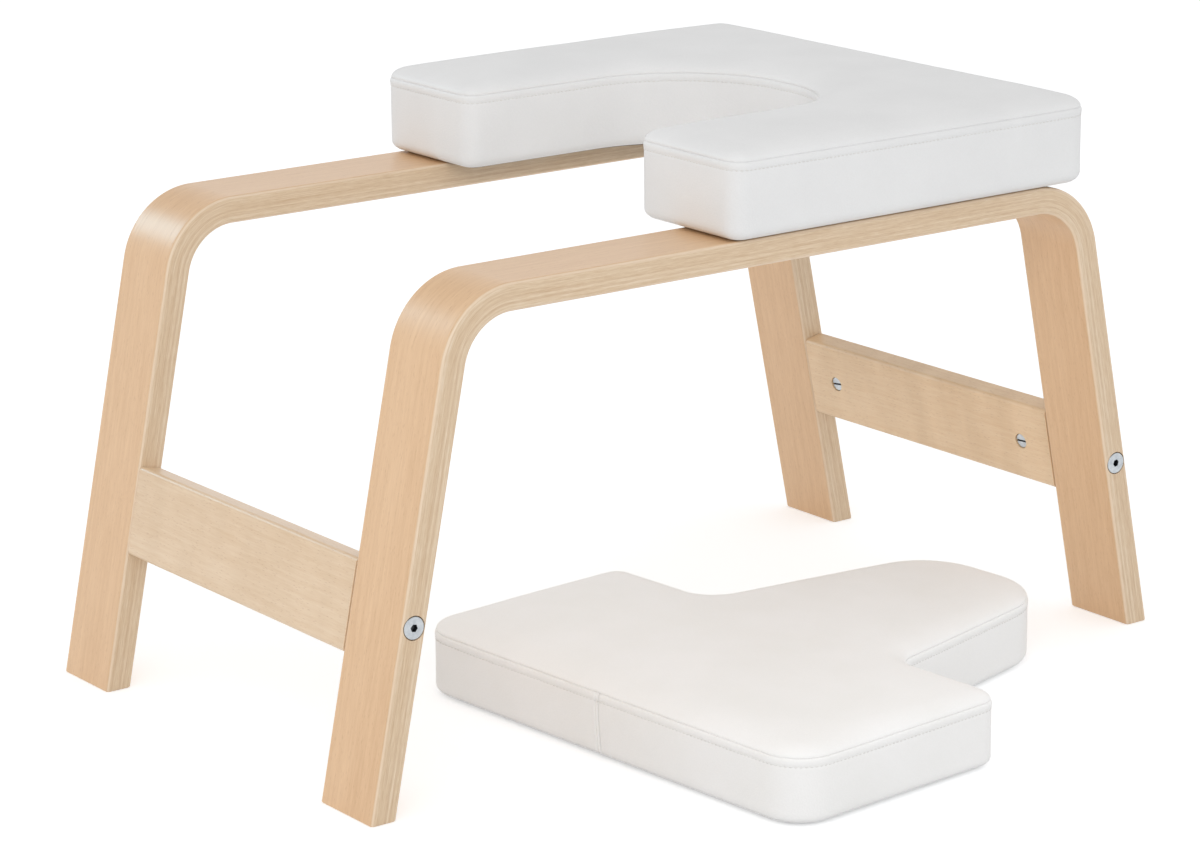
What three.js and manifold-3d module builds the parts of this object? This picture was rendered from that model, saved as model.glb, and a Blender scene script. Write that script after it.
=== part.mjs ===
import * as THREE from 'three';
import { mergeVertices } from 'three/addons/utils/BufferGeometryUtils.js';
import Module from 'manifold-3d';

// A headstand stool: two bent plywood frames, two stretchers, a U-shaped seat pad and a loose
// T-shaped insert pad that lies on the floor beside it. Millimetres, +Z up, floor at Z = 0.
// The head goes in from -X, the front; left is +Y and right is -Y.
// The origin is on the floor, in the middle of the box that holds the stool and the insert.

const wasm = await Module();
wasm.setup();

const degree = Math.PI / 180;
const quarterTurn = 90 * degree;
const halfTurn = 2 * quarterTurn;

// What every joint and cut shares
const fitGap = 0.3;
const cutOverrun = 4;

// Frames: one strip of laminated beech each, bent twice
const stoolLength = 630;
const stoolWidth = 360;
const railHeight = 312;
const legSplay = 11.67 * degree;
const frameThickness = 17.6;
const frameWidth = 55;
const bendRadius = 52;
const frameEdgeRadius = 2.4;

// Stretchers, one at each end, leaning with the legs
const stretcherHeight = 57.5;
const stretcherThickness = 16.8;
const stretcherMidHeight = 116.2;
const stretcherEdgeRadius = 3;

// Connector bolts and barrel nuts, one pair at each stretcher end
const boltHeadRadius = 7.5;
const boltHeadThickness = 2.2;
const boltHeadChamfer = 0.6;
const boltShankRadius = 3;
const boltTipChamfer = 0.8;
const boltSocketWidth = 4;
const boltSocketDepth = 3;
const boltPastNut = 4;
const nutSetback = 28.5;
const nutRadius = 5;
const nutRecess = 0.8;
const nutBackWall = 3;
const nutSlotWidth = 1.3;
const nutSlotDepth = 1.4;

// Dowels, two at each stretcher end
const dowelRadius = 4;
const dowelChamfer = 1;
const dowelInFrame = 16;
const dowelInStretcher = 20;
const dowelSpacing = 34;

// Seat pad: U in plan, open towards the front
const seatLength = 293;
const seatRearSetback = 71;
const seatOverhang = 8;
const openingHalfWidth = 90;
const openingDepth = 192;
const openingEndFlat = 6;
const seatRearCornerRadius = 16;
const armTipCornerRadius = 12;
const seatSeamHeight = 49.8;
const seatCrownHeight = 7.9;
const seatCrownInset = 17;

// Insert pad: T in plan, its tongue fills the opening
const insertHalfWidth = 174;
const shoulderLength = 172;
const insertLength = 349;
const tongueRootHalfWidth = 86;
const tongueTipHalfWidth = 53;
const insertFrontCornerRadius = 26;
const shoulderCornerRadius = 14;
const tongueRootFillet = 20;
const tongueTipCornerRadius = 50;
const insertSeamHeight = 42.5;
const insertCrownHeight = 6.5;
const insertCrownInset = 16;
const insertX = -140;
const insertY = -168.5;
const insertYaw = 4.6 * degree;

// What both pads are made of
const skinThickness = 1.4;
const clothThickness = 1;
const clothSetback = 5;
const hemWidth = 14;
const boardThickness = 12;
const drawInAtBottom = 5;
const tuckAtSeam = 1.2;
const wallHeightShares = [0, 0.03, 0.14, 0.85, 1];
const drawInShares = [1, 0.4, 0.04, 0, 0];
const tuckShares = [0, 0, 0, 0, 1];
const crownSteps = 3;

// Seat bolts with washers under the rails, and the tee nuts in the seat board
const frontBoltFromTip = 57;
const rearBoltFromBend = 43;
const seatBoltHeadRadius = 5.8;
const seatBoltHeadHeight = 3.4;
const seatBoltHeadRound = 1.4;
const washerRadius = 8;
const washerThickness = 1.5;
const teeNutFlangeRadius = 9.5;
const teeNutFlangeThickness = 1.4;
const teeNutBarrelRadius = 4.6;
const teeNutBarrelLength = 9;

// How finely round shapes are divided
const cornerSteps = 4;
const openingSteps = 7;
const bendSteps = 6;
const bevelSteps = 2;
const turnedSteps = 20;
const smallTurnedSteps = 12;
const hexagonSides = 6;

// What follows from the sizes above
const halfLength = stoolLength / 2;
const soleLength = frameThickness / Math.cos(legSplay);
const bendCentreZ = railHeight - bendRadius;
const bendCentreX = halfLength - bendCentreZ * Math.tan(legSplay) - bendRadius / Math.cos(legSplay);
const innerFrameY = stoolWidth / 2 - frameWidth;
const railCentreY = stoolWidth / 2 - frameWidth / 2;
const stretcherMidX = halfLength - soleLength / 2 - stretcherMidHeight * Math.tan(legSplay);
const nutFaceX = stretcherThickness / 2 - nutRecess;
const nutLength = stretcherThickness - nutRecess - nutBackWall - fitGap;
const nutY = innerFrameY - nutSetback;
const boltLength = frameWidth + nutSetback + nutRadius + boltPastNut;
const seatHalfWidth = stoolWidth / 2 + seatOverhang;
const seatRearX = halfLength - seatRearSetback;
const seatFrontX = seatRearX - seatLength;
const openingEndX = seatFrontX + openingDepth;
const seatBoltRows = { front: seatFrontX + frontBoltFromTip, rear: bendCentreX - rearBoltFromBend };

const beech = { color: 0xe3c095, roughness: 0.5, metalness: 0 };
const boardPly = { color: 0xcdb088, roughness: 0.75, metalness: 0 };
const zinc = { color: 0xb9c0c6, roughness: 0.32, metalness: 1 };
const leather = { color: 0xefeeec, roughness: 0.55, metalness: 0 };
const foam = { color: 0xe9dfb5, roughness: 0.95, metalness: 0 };
const blackCloth = { color: 0x2a2a2c, roughness: 0.95, metalness: 0 };

function toSolid(geometry) {
  const bare = geometry.clone();
  bare.deleteAttribute('normal');
  bare.deleteAttribute('uv');
  const merged = mergeVertices(bare);
  return new wasm.Manifold(new wasm.Mesh({
    numProp: 3,
    vertProperties: new Float32Array(merged.attributes.position.array),
    triVerts: new Uint32Array(merged.index.array),
  }));
}

function toGeometry(solid) {
  const mesh = solid.getMesh();
  const geometry = new THREE.BufferGeometry();
  geometry.setAttribute('position', new THREE.BufferAttribute(mesh.vertProperties, 3));
  geometry.setIndex(new THREE.BufferAttribute(mesh.triVerts, 1));
  geometry.computeVertexNormals();
  return geometry;
}

function cut(geometry, tools) {
  return toGeometry(tools.reduce((solid, tool) => solid.subtract(toSolid(tool)), toSolid(geometry)));
}

function addPiece(group, name, geometry, finish) {
  const mesh = new THREE.Mesh(geometry, new THREE.MeshStandardMaterial(finish));
  mesh.name = name;
  group.add(mesh);
  return mesh;
}

function rodAlongY(radius, y0, y1, sides = smallTurnedSteps) {
  return new THREE.CylinderGeometry(radius, radius, y1 - y0, sides).translate(0, (y0 + y1) / 2, 0);
}

function rodAlongX(radius, x0, x1, sides = smallTurnedSteps) {
  return rodAlongY(radius, x0, x1, sides).rotateZ(-quarterTurn);
}

function rodAlongZ(radius, z0, z1, sides = smallTurnedSteps) {
  return rodAlongY(radius, z0, z1, sides).rotateX(quarterTurn);
}

// A piece turned about Y from pairs of radius and height along the axis
function turned(profile, sides = smallTurnedSteps) {
  return new THREE.LatheGeometry(profile.map(([r, y]) => new THREE.Vector2(r, y)), sides);
}

// The edge of an outline that leaves a corner, moved inwards by an inset
function insetEdge(corners, index, inset) {
  const a = corners[index % corners.length];
  const b = corners[(index + 1) % corners.length];
  const direction = new THREE.Vector2(b.x - a.x, b.y - a.y).normalize();
  const inward = new THREE.Vector2(-direction.y, direction.x);
  return { direction, inward, start: new THREE.Vector2(a.x, a.y).addScaledVector(inward, inset) };
}

// The outline through rounded corners, listed anticlockwise as { x, y, radius, steps }.
// Every inset has the same number of points, so that insets can be lofted.
function outlinePoints(corners, inset) {
  return corners.flatMap(({ radius, steps }, index) => {
    const before = insetEdge(corners, index + corners.length - 1, inset);
    const after = insetEdge(corners, index, inset);
    const turn = before.direction.cross(after.direction);
    const side = Math.sign(turn);
    const bend = Math.acos(before.direction.dot(after.direction));
    const away = after.start.clone().sub(before.start).cross(after.direction) / turn;
    const rounding = Math.max(radius - side * inset, fitGap);
    const centre = before.start.clone()
      .addScaledVector(before.direction, away - rounding * Math.tan(bend / 2))
      .addScaledVector(before.inward, side * rounding);
    const from = Math.atan2(-side * before.inward.y, -side * before.inward.x);
    return Array.from({ length: steps + 1 }, (_, step) => {
      const at = from + side * bend * step / steps;
      return new THREE.Vector2(rounding * Math.cos(at), rounding * Math.sin(at)).add(centre);
    });
  });
}

// A body lofted through levels of { inset, z } of one outline: with flat caps on its first and
// last level, or as a ring whose last level joins the first again
function loft(corners, levels, isRing = false) {
  const loops = levels.map(({ inset, z }) => outlinePoints(corners, inset).map((p) => [p.x, p.y, z]));
  const size = loops[0].length;
  const triangles = [];
  const bandCount = isRing ? loops.length : loops.length - 1;
  for (let level = 0; level < bandCount; level += 1) {
    const lower = level * size;
    const upper = ((level + 1) % loops.length) * size;
    for (let k = 0; k < size; k += 1) {
      const next = (k + 1) % size;
      triangles.push(lower + k, lower + next, upper + next);
      triangles.push(lower + k, upper + next, upper + k);
    }
  }
  if (!isRing) {
    const last = (loops.length - 1) * size;
    const lid = (loop) => {
      const outline = loop.map(([x, y]) => new THREE.Vector2(x, y));
      return THREE.ShapeUtils.triangulateShape(outline, []);
    };
    lid(loops[0]).forEach(([a, b, c]) => triangles.push(a, c, b));
    lid(loops.at(-1)).forEach(([a, b, c]) => triangles.push(last + a, last + b, last + c));
  }
  const geometry = new THREE.BufferGeometry();
  geometry.setAttribute('position', new THREE.Float32BufferAttribute(loops.flat(2), 3));
  geometry.setIndex(triangles);
  geometry.computeVertexNormals();
  return geometry;
}

// A frame's strip with its middle plane at Y = 0, its feet reaching below the floor
function frameStrip() {
  const footX = halfLength + cutOverrun * Math.tan(legSplay);
  const innerRadius = bendRadius - frameThickness;
  const farSide = Math.PI - legSplay;
  const strip = new THREE.Shape();
  strip.moveTo(footX - soleLength, -cutOverrun);
  strip.lineTo(footX, -cutOverrun);
  strip.absarc(bendCentreX, bendCentreZ, bendRadius, legSplay, quarterTurn, false);
  strip.absarc(-bendCentreX, bendCentreZ, bendRadius, quarterTurn, farSide, false);
  strip.lineTo(-footX, -cutOverrun);
  strip.lineTo(soleLength - footX, -cutOverrun);
  strip.absarc(-bendCentreX, bendCentreZ, innerRadius, farSide, quarterTurn, true);
  strip.absarc(bendCentreX, bendCentreZ, innerRadius, quarterTurn, legSplay, true);
  const geometry = new THREE.ExtrudeGeometry(strip, {
    depth: frameWidth - 2 * frameEdgeRadius,
    bevelThickness: frameEdgeRadius,
    bevelSize: frameEdgeRadius,
    bevelOffset: -frameEdgeRadius,
    bevelSegments: bevelSteps,
    curveSegments: bendSteps,
  });
  return geometry.translate(0, 0, frameEdgeRadius - frameWidth / 2).rotateX(quarterTurn);
}

// The floor, the holes for one stretcher joint in each leg and the seat bolts' holes;
// inner is 1 where the frame's inner edge faces +Y and -1 where it faces -Y
function frameCuts(inner) {
  const half = frameWidth / 2;
  const turnToInner = inner > 0 ? 0 : halfTurn;
  const headPocketEnd = boltHeadThickness + fitGap - half;
  const dowelSocketEnd = half - dowelInFrame - fitGap;
  const floor = new THREE.BoxGeometry(2 * stoolLength, 2 * frameWidth, 2 * frameWidth);
  const joint = [
    rodAlongY(boltHeadRadius + fitGap, -half - cutOverrun, headPocketEnd, turnedSteps),
    rodAlongY(boltShankRadius + fitGap, -half - cutOverrun, half + cutOverrun),
    ...[-dowelSpacing / 2, dowelSpacing / 2].map((along) => (
      rodAlongY(dowelRadius + fitGap, dowelSocketEnd, half + cutOverrun).translate(0, 0, along)
    )),
  ];
  const legHoles = [-1, 1].flatMap((end) => joint.map((tool) => tool.clone()
    .rotateX(turnToInner)
    .rotateY(-end * legSplay)
    .translate(end * stretcherMidX, 0, stretcherMidHeight)));
  const railHoles = Object.values(seatBoltRows).map((x) => (
    rodAlongZ(boltShankRadius + fitGap, bendCentreZ, railHeight + cutOverrun).translate(x, 0, 0)
  ));
  return [floor.translate(0, 0, -frameWidth), ...legHoles, ...railHoles];
}

// A block that holds one leg of a strip from the cut where its bend begins; end is 1 at the rear
// and -1 at the front
function legBlock(end) {
  return new THREE.BoxGeometry(bendCentreX, 2 * frameWidth, 2 * railHeight)
    .translate(end * bendCentreX / 2, 0, -railHeight)
    .rotateY(-end * legSplay)
    .translate(end * bendCentreX, 0, bendCentreZ);
}

// Each strip is stated as the five lengths between the cuts where its bends begin and end: two
// legs, two bends and the rail, which meet face to face
function frameLengths(strip) {
  const frontLegBlock = toSolid(legBlock(-1));
  const rearLegBlock = toSolid(legBlock(1));
  const railBlock = toSolid(new THREE.BoxGeometry(2 * bendCentreX, 2 * frameWidth, 2 * bendRadius)
    .translate(0, 0, railHeight));
  const frontHalf = toSolid(new THREE.BoxGeometry(stoolLength, 2 * frameWidth, 2 * railHeight)
    .translate(-halfLength, 0, railHeight));
  const bends = strip.subtract(frontLegBlock).subtract(rearLegBlock).subtract(railBlock);
  return {
    front_leg: strip.intersect(frontLegBlock),
    front_bend: bends.intersect(frontHalf),
    rail: strip.intersect(railBlock),
    rear_bend: bends.subtract(frontHalf),
    rear_leg: strip.intersect(rearLegBlock),
  };
}

function addFrames(stool) {
  for (const [name, side] of [['right_frame', -1], ['left_frame', 1]]) {
    const strip = toSolid(cut(frameStrip(), frameCuts(-side)));
    for (const [length, solid] of Object.entries(frameLengths(strip))) {
      const mesh = addPiece(stool, `${name}_${length}`, toGeometry(solid), beech);
      mesh.position.y = side * railCentreY;
    }
  }
}

function roundedRectangle(width, height, radius) {
  const x = width / 2 - radius;
  const y = height / 2 - radius;
  const shape = new THREE.Shape();
  shape.absarc(x, -y, radius, -quarterTurn, 0, false);
  shape.absarc(x, y, radius, 0, quarterTurn, false);
  shape.absarc(-x, y, radius, quarterTurn, halfTurn, false);
  shape.absarc(-x, -y, radius, halfTurn, halfTurn + quarterTurn, false);
  return shape;
}

// A stretcher along Y, its nuts' mouths on the face that looks towards inside, +1 or -1 in X
function stretcherBar(inside) {
  const halfSpan = innerFrameY - fitGap;
  const section = roundedRectangle(stretcherThickness, stretcherHeight, stretcherEdgeRadius);
  const bar = new THREE.ExtrudeGeometry(section, {
    depth: 2 * halfSpan,
    bevelEnabled: false,
    curveSegments: 1,
  }).translate(0, 0, -halfSpan).rotateX(quarterTurn);
  const past = innerFrameY + cutOverrun;
  const boltHoleEnd = nutY - nutRadius - boltPastNut - fitGap;
  const dowelSocketEnd = innerFrameY - dowelInStretcher - fitGap;
  const joint = [
    rodAlongY(boltShankRadius + fitGap, boltHoleEnd, past),
    ...[-dowelSpacing / 2, dowelSpacing / 2].map((along) => (
      rodAlongY(dowelRadius + fitGap, dowelSocketEnd, past).translate(0, 0, along)
    )),
  ];
  const pocketEnd = nutFaceX - nutLength - fitGap;
  const pocketMouth = stretcherThickness / 2 + cutOverrun;
  const pocket = rodAlongX(nutRadius + fitGap, pocketEnd, pocketMouth, turnedSteps);
  pocket.rotateY(inside > 0 ? 0 : halfTurn);
  return cut(bar, [-1, 1].flatMap((side) => [
    ...joint.map((tool) => tool.clone().rotateX(side > 0 ? 0 : halfTurn)),
    pocket.clone().translate(0, side * nutY, 0),
  ]));
}

// Head face at Y = 0, shank towards +Y
function connectorBolt() {
  const blank = turned([
    [0, 0],
    [boltHeadRadius - boltHeadChamfer, 0],
    [boltHeadRadius, boltHeadChamfer],
    [boltHeadRadius, boltHeadThickness],
    [boltShankRadius, boltHeadThickness],
    [boltShankRadius, boltLength - boltTipChamfer],
    [boltShankRadius - boltTipChamfer, boltLength],
    [0, boltLength],
  ], turnedSteps);
  return cut(blank, [
    rodAlongY(boltSocketWidth / Math.sqrt(3), -cutOverrun, boltSocketDepth, hexagonSides),
  ]);
}

// Slotted face at X = 0 facing +X, bolt hole along Y
function barrelNut() {
  const slot = new THREE.BoxGeometry(2 * nutSlotDepth, 2 * nutRadius + cutOverrun, nutSlotWidth);
  const reach = nutRadius + cutOverrun;
  return cut(rodAlongX(nutRadius, -nutLength, 0, turnedSteps), [
    slot,
    rodAlongY(boltShankRadius + fitGap, -reach, reach).translate(-nutFaceX, 0, 0),
  ]);
}

function dowel() {
  const length = dowelInFrame + dowelInStretcher;
  return turned([
    [0, 0],
    [dowelRadius - dowelChamfer, 0],
    [dowelRadius, dowelChamfer],
    [dowelRadius, length - dowelChamfer],
    [dowelRadius - dowelChamfer, length],
    [0, length],
  ]);
}

// Each stretcher with its bolts, nuts and dowels, in a group that leans with the legs
function addStretchers(stool) {
  for (const [end, endSide] of [['front', -1], ['rear', 1]]) {
    const leaning = new THREE.Group();
    leaning.position.set(endSide * stretcherMidX, 0, stretcherMidHeight);
    leaning.rotation.y = -endSide * legSplay;
    stool.add(leaning);
    addPiece(leaning, `${end}_stretcher`, stretcherBar(-endSide), beech);
    for (const [hand, side] of [['right', -1], ['left', 1]]) {
      const turn = side < 0 ? 0 : halfTurn;
      const bolt = addPiece(leaning, `${end}_${hand}_bolt`, connectorBolt(), zinc);
      bolt.position.y = side * stoolWidth / 2;
      bolt.rotation.x = turn;
      const nut = addPiece(leaning, `${end}_${hand}_barrel_nut`, barrelNut(), zinc);
      nut.position.set(-endSide * nutFaceX, side * nutY, 0);
      nut.rotation.y = endSide < 0 ? 0 : halfTurn;
      for (const [level, up] of [['lower', -1], ['upper', 1]]) {
        const pin = addPiece(leaning, `${end}_${hand}_${level}_dowel`, dowel(), beech);
        pin.position.set(0, side * (innerFrameY + dowelInFrame), up * dowelSpacing / 2);
        pin.rotation.x = turn;
      }
    }
  }
}

function seatCorners() {
  const tip = { radius: armTipCornerRadius, steps: cornerSteps };
  const deep = { radius: openingHalfWidth - openingEndFlat, steps: openingSteps };
  const rear = { radius: seatRearCornerRadius, steps: cornerSteps };
  return [
    { x: seatFrontX, y: seatHalfWidth, ...tip },
    { x: seatFrontX, y: openingHalfWidth, ...tip },
    { x: openingEndX, y: openingHalfWidth, ...deep },
    { x: openingEndX, y: -openingHalfWidth, ...deep },
    { x: seatFrontX, y: -openingHalfWidth, ...tip },
    { x: seatFrontX, y: -seatHalfWidth, ...tip },
    { x: seatRearX, y: -seatHalfWidth, ...rear },
    { x: seatRearX, y: seatHalfWidth, ...rear },
  ];
}

// The T with its long front edge at X = 0 and its tongue towards +X
function insertCorners() {
  const front = { radius: insertFrontCornerRadius, steps: cornerSteps };
  const shoulder = { radius: shoulderCornerRadius, steps: cornerSteps };
  const root = { radius: tongueRootFillet, steps: cornerSteps };
  const tip = { radius: tongueTipCornerRadius, steps: cornerSteps };
  return [
    { x: 0, y: insertHalfWidth, ...front },
    { x: 0, y: -insertHalfWidth, ...front },
    { x: shoulderLength, y: -insertHalfWidth, ...shoulder },
    { x: shoulderLength, y: -tongueRootHalfWidth, ...root },
    { x: insertLength, y: -tongueTipHalfWidth, ...tip },
    { x: insertLength, y: tongueTipHalfWidth, ...tip },
    { x: shoulderLength, y: tongueRootHalfWidth, ...root },
    { x: shoulderLength, y: insertHalfWidth, ...shoulder },
  ];
}

// How far the side wall lies inside the outline, at a share of its height
function wallInset(share) {
  const upper = Math.max(wallHeightShares.findIndex((level) => level >= share), 1);
  const between = THREE.MathUtils.inverseLerp(wallHeightShares[upper - 1], wallHeightShares[upper], share);
  const drawIn = THREE.MathUtils.lerp(drawInShares[upper - 1], drawInShares[upper], between);
  const tuck = THREE.MathUtils.lerp(tuckShares[upper - 1], tuckShares[upper], between);
  return drawInAtBottom * drawIn + tuckAtSeam * tuck;
}

// The wall's levels from a height up to the seam, a depth inside its outer face
function wallLevels(wall, depth, fromZ = wall.bottom) {
  const height = wall.top - wall.bottom;
  const above = wallHeightShares.filter((share) => wall.bottom + height * share > fromZ);
  return [(fromZ - wall.bottom) / height, ...above].map((share) => ({
    inset: depth + wallInset(share),
    z: wall.bottom + height * share,
  }));
}

// The top from the seam to its flat middle, a quarter of an ellipse in section
function crownLevels(pad, seamZ, depth) {
  return Array.from({ length: crownSteps + 1 }, (_, step) => {
    const at = quarterTurn * step / crownSteps;
    return {
      inset: tuckAtSeam + depth + (pad.crownInset - depth) * (1 - Math.cos(at)),
      z: seamZ + (pad.crownHeight - depth) * Math.sin(at),
    };
  });
}

// A pad from the bottom up: cloth, side band with its hem turned under, board, foam, top panel
function addPad(group, name, corners, pad, boltPlaces) {
  const seamZ = pad.bottom + pad.seamHeight;
  const clothTop = pad.bottom + clothThickness;
  const wall = { bottom: clothTop + fitGap, top: seamZ - fitGap };
  const hemTop = wall.bottom + skinThickness;
  const hemEdge = drawInAtBottom + hemWidth;
  const insideSkin = skinThickness + fitGap;
  const boardBottom = hemTop + fitGap;
  const boardTop = boardBottom + boardThickness;
  const flangeSeat = boardTop - teeNutFlangeThickness - fitGap;
  const plate = (inset, z0, z1) => loft(corners, [{ inset, z: z0 }, { inset, z: z1 }]);
  const holes = (radius, z0, z1) => boltPlaces.map(([x, y]) => (
    rodAlongZ(radius, z0, z1 + cutOverrun).translate(x, y, 0)
  ));

  const cloth = cut(
    plate(drawInAtBottom + clothSetback, pad.bottom, clothTop),
    holes(boltShankRadius + fitGap, pad.bottom - cutOverrun, clothTop),
  );
  const band = loft(corners, [
    { inset: hemEdge, z: wall.bottom },
    ...wallLevels(wall, 0),
    ...wallLevels(wall, skinThickness, hemTop).reverse(),
    { inset: hemEdge, z: hemTop },
  ], true);
  const board = cut(plate(drawInAtBottom + insideSkin, boardBottom, boardTop), [
    ...holes(teeNutBarrelRadius + fitGap, boardBottom - cutOverrun, boardTop),
    ...holes(teeNutFlangeRadius + fitGap, flangeSeat, boardTop),
  ]);
  const block = loft(corners, [
    ...wallLevels(wall, insideSkin, boardTop + fitGap).slice(0, -1),
    ...crownLevels(pad, wall.top, insideSkin),
  ]);
  const panel = loft(corners, [
    ...crownLevels(pad, seamZ, skinThickness).reverse(),
    ...crownLevels(pad, seamZ, 0),
  ]);
  addPiece(group, `${name}_bottom_cloth`, cloth, blackCloth);
  addPiece(group, `${name}_cover_band`, band, leather);
  addPiece(group, `${name}_board`, board, boardPly);
  addPiece(group, `${name}_foam`, block, foam);
  addPiece(group, `${name}_cover_top`, panel, leather);
  return boardTop;
}

// Head below Z = 0, shank up to the given length
function seatBolt(length) {
  const blank = turned([
    [0, -seatBoltHeadHeight],
    [seatBoltHeadRadius - seatBoltHeadRound, -seatBoltHeadHeight],
    [seatBoltHeadRadius, seatBoltHeadRound - seatBoltHeadHeight],
    [seatBoltHeadRadius, 0],
    [boltShankRadius, 0],
    [boltShankRadius, length - boltTipChamfer],
    [boltShankRadius - boltTipChamfer, length],
    [0, length],
  ]);
  const mouth = -seatBoltHeadHeight - cutOverrun;
  const socketEnd = boltSocketDepth - seatBoltHeadHeight;
  return cut(blank, [
    rodAlongY(boltSocketWidth / Math.sqrt(3), mouth, socketEnd, hexagonSides),
  ]).rotateX(quarterTurn);
}

function washer() {
  const bore = boltShankRadius + fitGap;
  return turned([
    [bore, 0],
    [washerRadius, 0],
    [washerRadius, washerThickness],
    [bore, washerThickness],
    [bore, 0],
  ]).rotateX(quarterTurn);
}

// Flange standing on Z = 0, barrel hanging below it
function teeNut() {
  const bore = boltShankRadius + fitGap;
  return turned([
    [bore, -teeNutBarrelLength],
    [teeNutBarrelRadius, -teeNutBarrelLength],
    [teeNutBarrelRadius, 0],
    [teeNutFlangeRadius, 0],
    [teeNutFlangeRadius, teeNutFlangeThickness],
    [bore, teeNutFlangeThickness],
    [bore, -teeNutBarrelLength],
  ]).rotateX(quarterTurn);
}

function addSeatFixings(stool, boardTop) {
  const washerZ = railHeight - frameThickness - fitGap - washerThickness;
  const headZ = washerZ - fitGap;
  const length = boardTop - fitGap - headZ;
  for (const [hand, side] of [['right', -1], ['left', 1]]) {
    for (const [row, x] of Object.entries(seatBoltRows)) {
      const y = side * railCentreY;
      const bolt = addPiece(stool, `seat_${row}_${hand}_bolt`, seatBolt(length), zinc);
      bolt.position.set(x, y, headZ);
      const ring = addPiece(stool, `seat_${row}_${hand}_washer`, washer(), zinc);
      ring.position.set(x, y, washerZ);
      const nut = addPiece(stool, `seat_${row}_${hand}_tee_nut`, teeNut(), zinc);
      nut.position.set(x, y, boardTop - teeNutFlangeThickness);
    }
  }
}

function addSeat(stool) {
  const places = Object.values(seatBoltRows).flatMap((x) => [[x, -railCentreY], [x, railCentreY]]);
  const boardTop = addPad(stool, 'seat', seatCorners(), {
    bottom: railHeight + fitGap,
    seamHeight: seatSeamHeight,
    crownHeight: seatCrownHeight,
    crownInset: seatCrownInset,
  }, places);
  addSeatFixings(stool, boardTop);
}

function addInsert(stool) {
  const insert = new THREE.Group();
  insert.position.set(insertX, insertY, 0);
  insert.rotation.z = insertYaw;
  stool.add(insert);
  addPad(insert, 'insert', insertCorners(), {
    bottom: 0,
    seamHeight: insertSeamHeight,
    crownHeight: insertCrownHeight,
    crownInset: insertCrownInset,
  }, []);
}

// How far to the right the insert's front corner reaches past the stool's middle
function insertReach() {
  const centreY = insertFrontCornerRadius - insertHalfWidth;
  const turnedY = insertFrontCornerRadius * Math.sin(insertYaw) + centreY * Math.cos(insertYaw);
  return insertFrontCornerRadius - insertY - turnedY;
}

const stool = new THREE.Group();
addFrames(stool);
addStretchers(stool);
addSeat(stool);
addInsert(stool);
stool.position.y = (insertReach() - seatHalfWidth) / 2;

export default stool;
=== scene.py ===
import math

import bpy
import numpy as np
from mathutils import Matrix, Vector, kdtree
from mathutils.geometry import delaunay_2d_cdt


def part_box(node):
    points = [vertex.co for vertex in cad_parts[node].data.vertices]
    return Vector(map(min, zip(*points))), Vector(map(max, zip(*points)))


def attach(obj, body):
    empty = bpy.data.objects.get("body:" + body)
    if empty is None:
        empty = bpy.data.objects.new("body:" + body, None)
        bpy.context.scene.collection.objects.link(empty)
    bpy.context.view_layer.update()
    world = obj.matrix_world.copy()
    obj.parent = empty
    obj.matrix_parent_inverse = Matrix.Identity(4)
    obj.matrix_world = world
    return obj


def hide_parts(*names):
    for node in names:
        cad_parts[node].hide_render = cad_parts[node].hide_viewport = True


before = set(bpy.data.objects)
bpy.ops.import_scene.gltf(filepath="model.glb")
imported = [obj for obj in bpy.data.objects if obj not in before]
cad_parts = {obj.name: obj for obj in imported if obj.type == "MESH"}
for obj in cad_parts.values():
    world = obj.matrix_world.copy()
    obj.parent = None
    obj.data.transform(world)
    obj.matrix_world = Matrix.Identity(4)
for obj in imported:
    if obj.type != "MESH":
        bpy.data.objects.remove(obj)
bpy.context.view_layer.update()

# The camera stands to the front right of the stool, about 2.5 m away and a little above it. It
# looks at the open end of the seat, rolled by less than half a degree, with no shift.
camera_azimuth = math.radians(-36.905)
camera_elevation = math.radians(15.358)
camera_roll = math.radians(-0.418)
camera_from_stool = Vector((-1.5166, -2.0053, 0.8425))
focal_length_in_pixels = 3980.8
picture_width = 1200
sensor_width = 36
stool_right_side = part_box("right_frame_rail")[0].y
stool_left_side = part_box("left_frame_rail")[1].y
stool_middle = (stool_right_side + stool_left_side) / 2


def put_in_scene(name, data):
    """A new object of a mesh, a light or a camera, in the scene."""
    made = bpy.data.objects.new(name, data)
    bpy.context.scene.collection.objects.link(made)
    return made


camera_data = bpy.data.cameras.new("camera")
camera_data.sensor_fit = "HORIZONTAL"
camera_data.sensor_width = sensor_width
camera_data.lens = focal_length_in_pixels * sensor_width / picture_width
camera_data.clip_start = 0.05
camera_data.clip_end = 60
camera = put_in_scene("camera", camera_data)
look_back = Vector((
    math.sin(camera_azimuth) * math.cos(camera_elevation),
    -math.cos(camera_azimuth) * math.cos(camera_elevation),
    math.sin(camera_elevation),
))
level_right = (-look_back).cross(Vector((0, 0, 1))).normalized()
level_up = level_right.cross(-look_back)
camera_right = math.cos(camera_roll) * level_right + math.sin(camera_roll) * level_up
camera_up = math.cos(camera_roll) * level_up - math.sin(camera_roll) * level_right
camera_turn = Matrix((camera_right, camera_up, look_back)).transposed().to_4x4()
camera_place = camera_from_stool + Vector((0, stool_middle, 0))
camera.matrix_world = Matrix.Translation(camera_place) @ camera_turn
bpy.context.scene.camera = camera
bpy.context.scene.view_settings.view_transform = "Standard"

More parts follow.
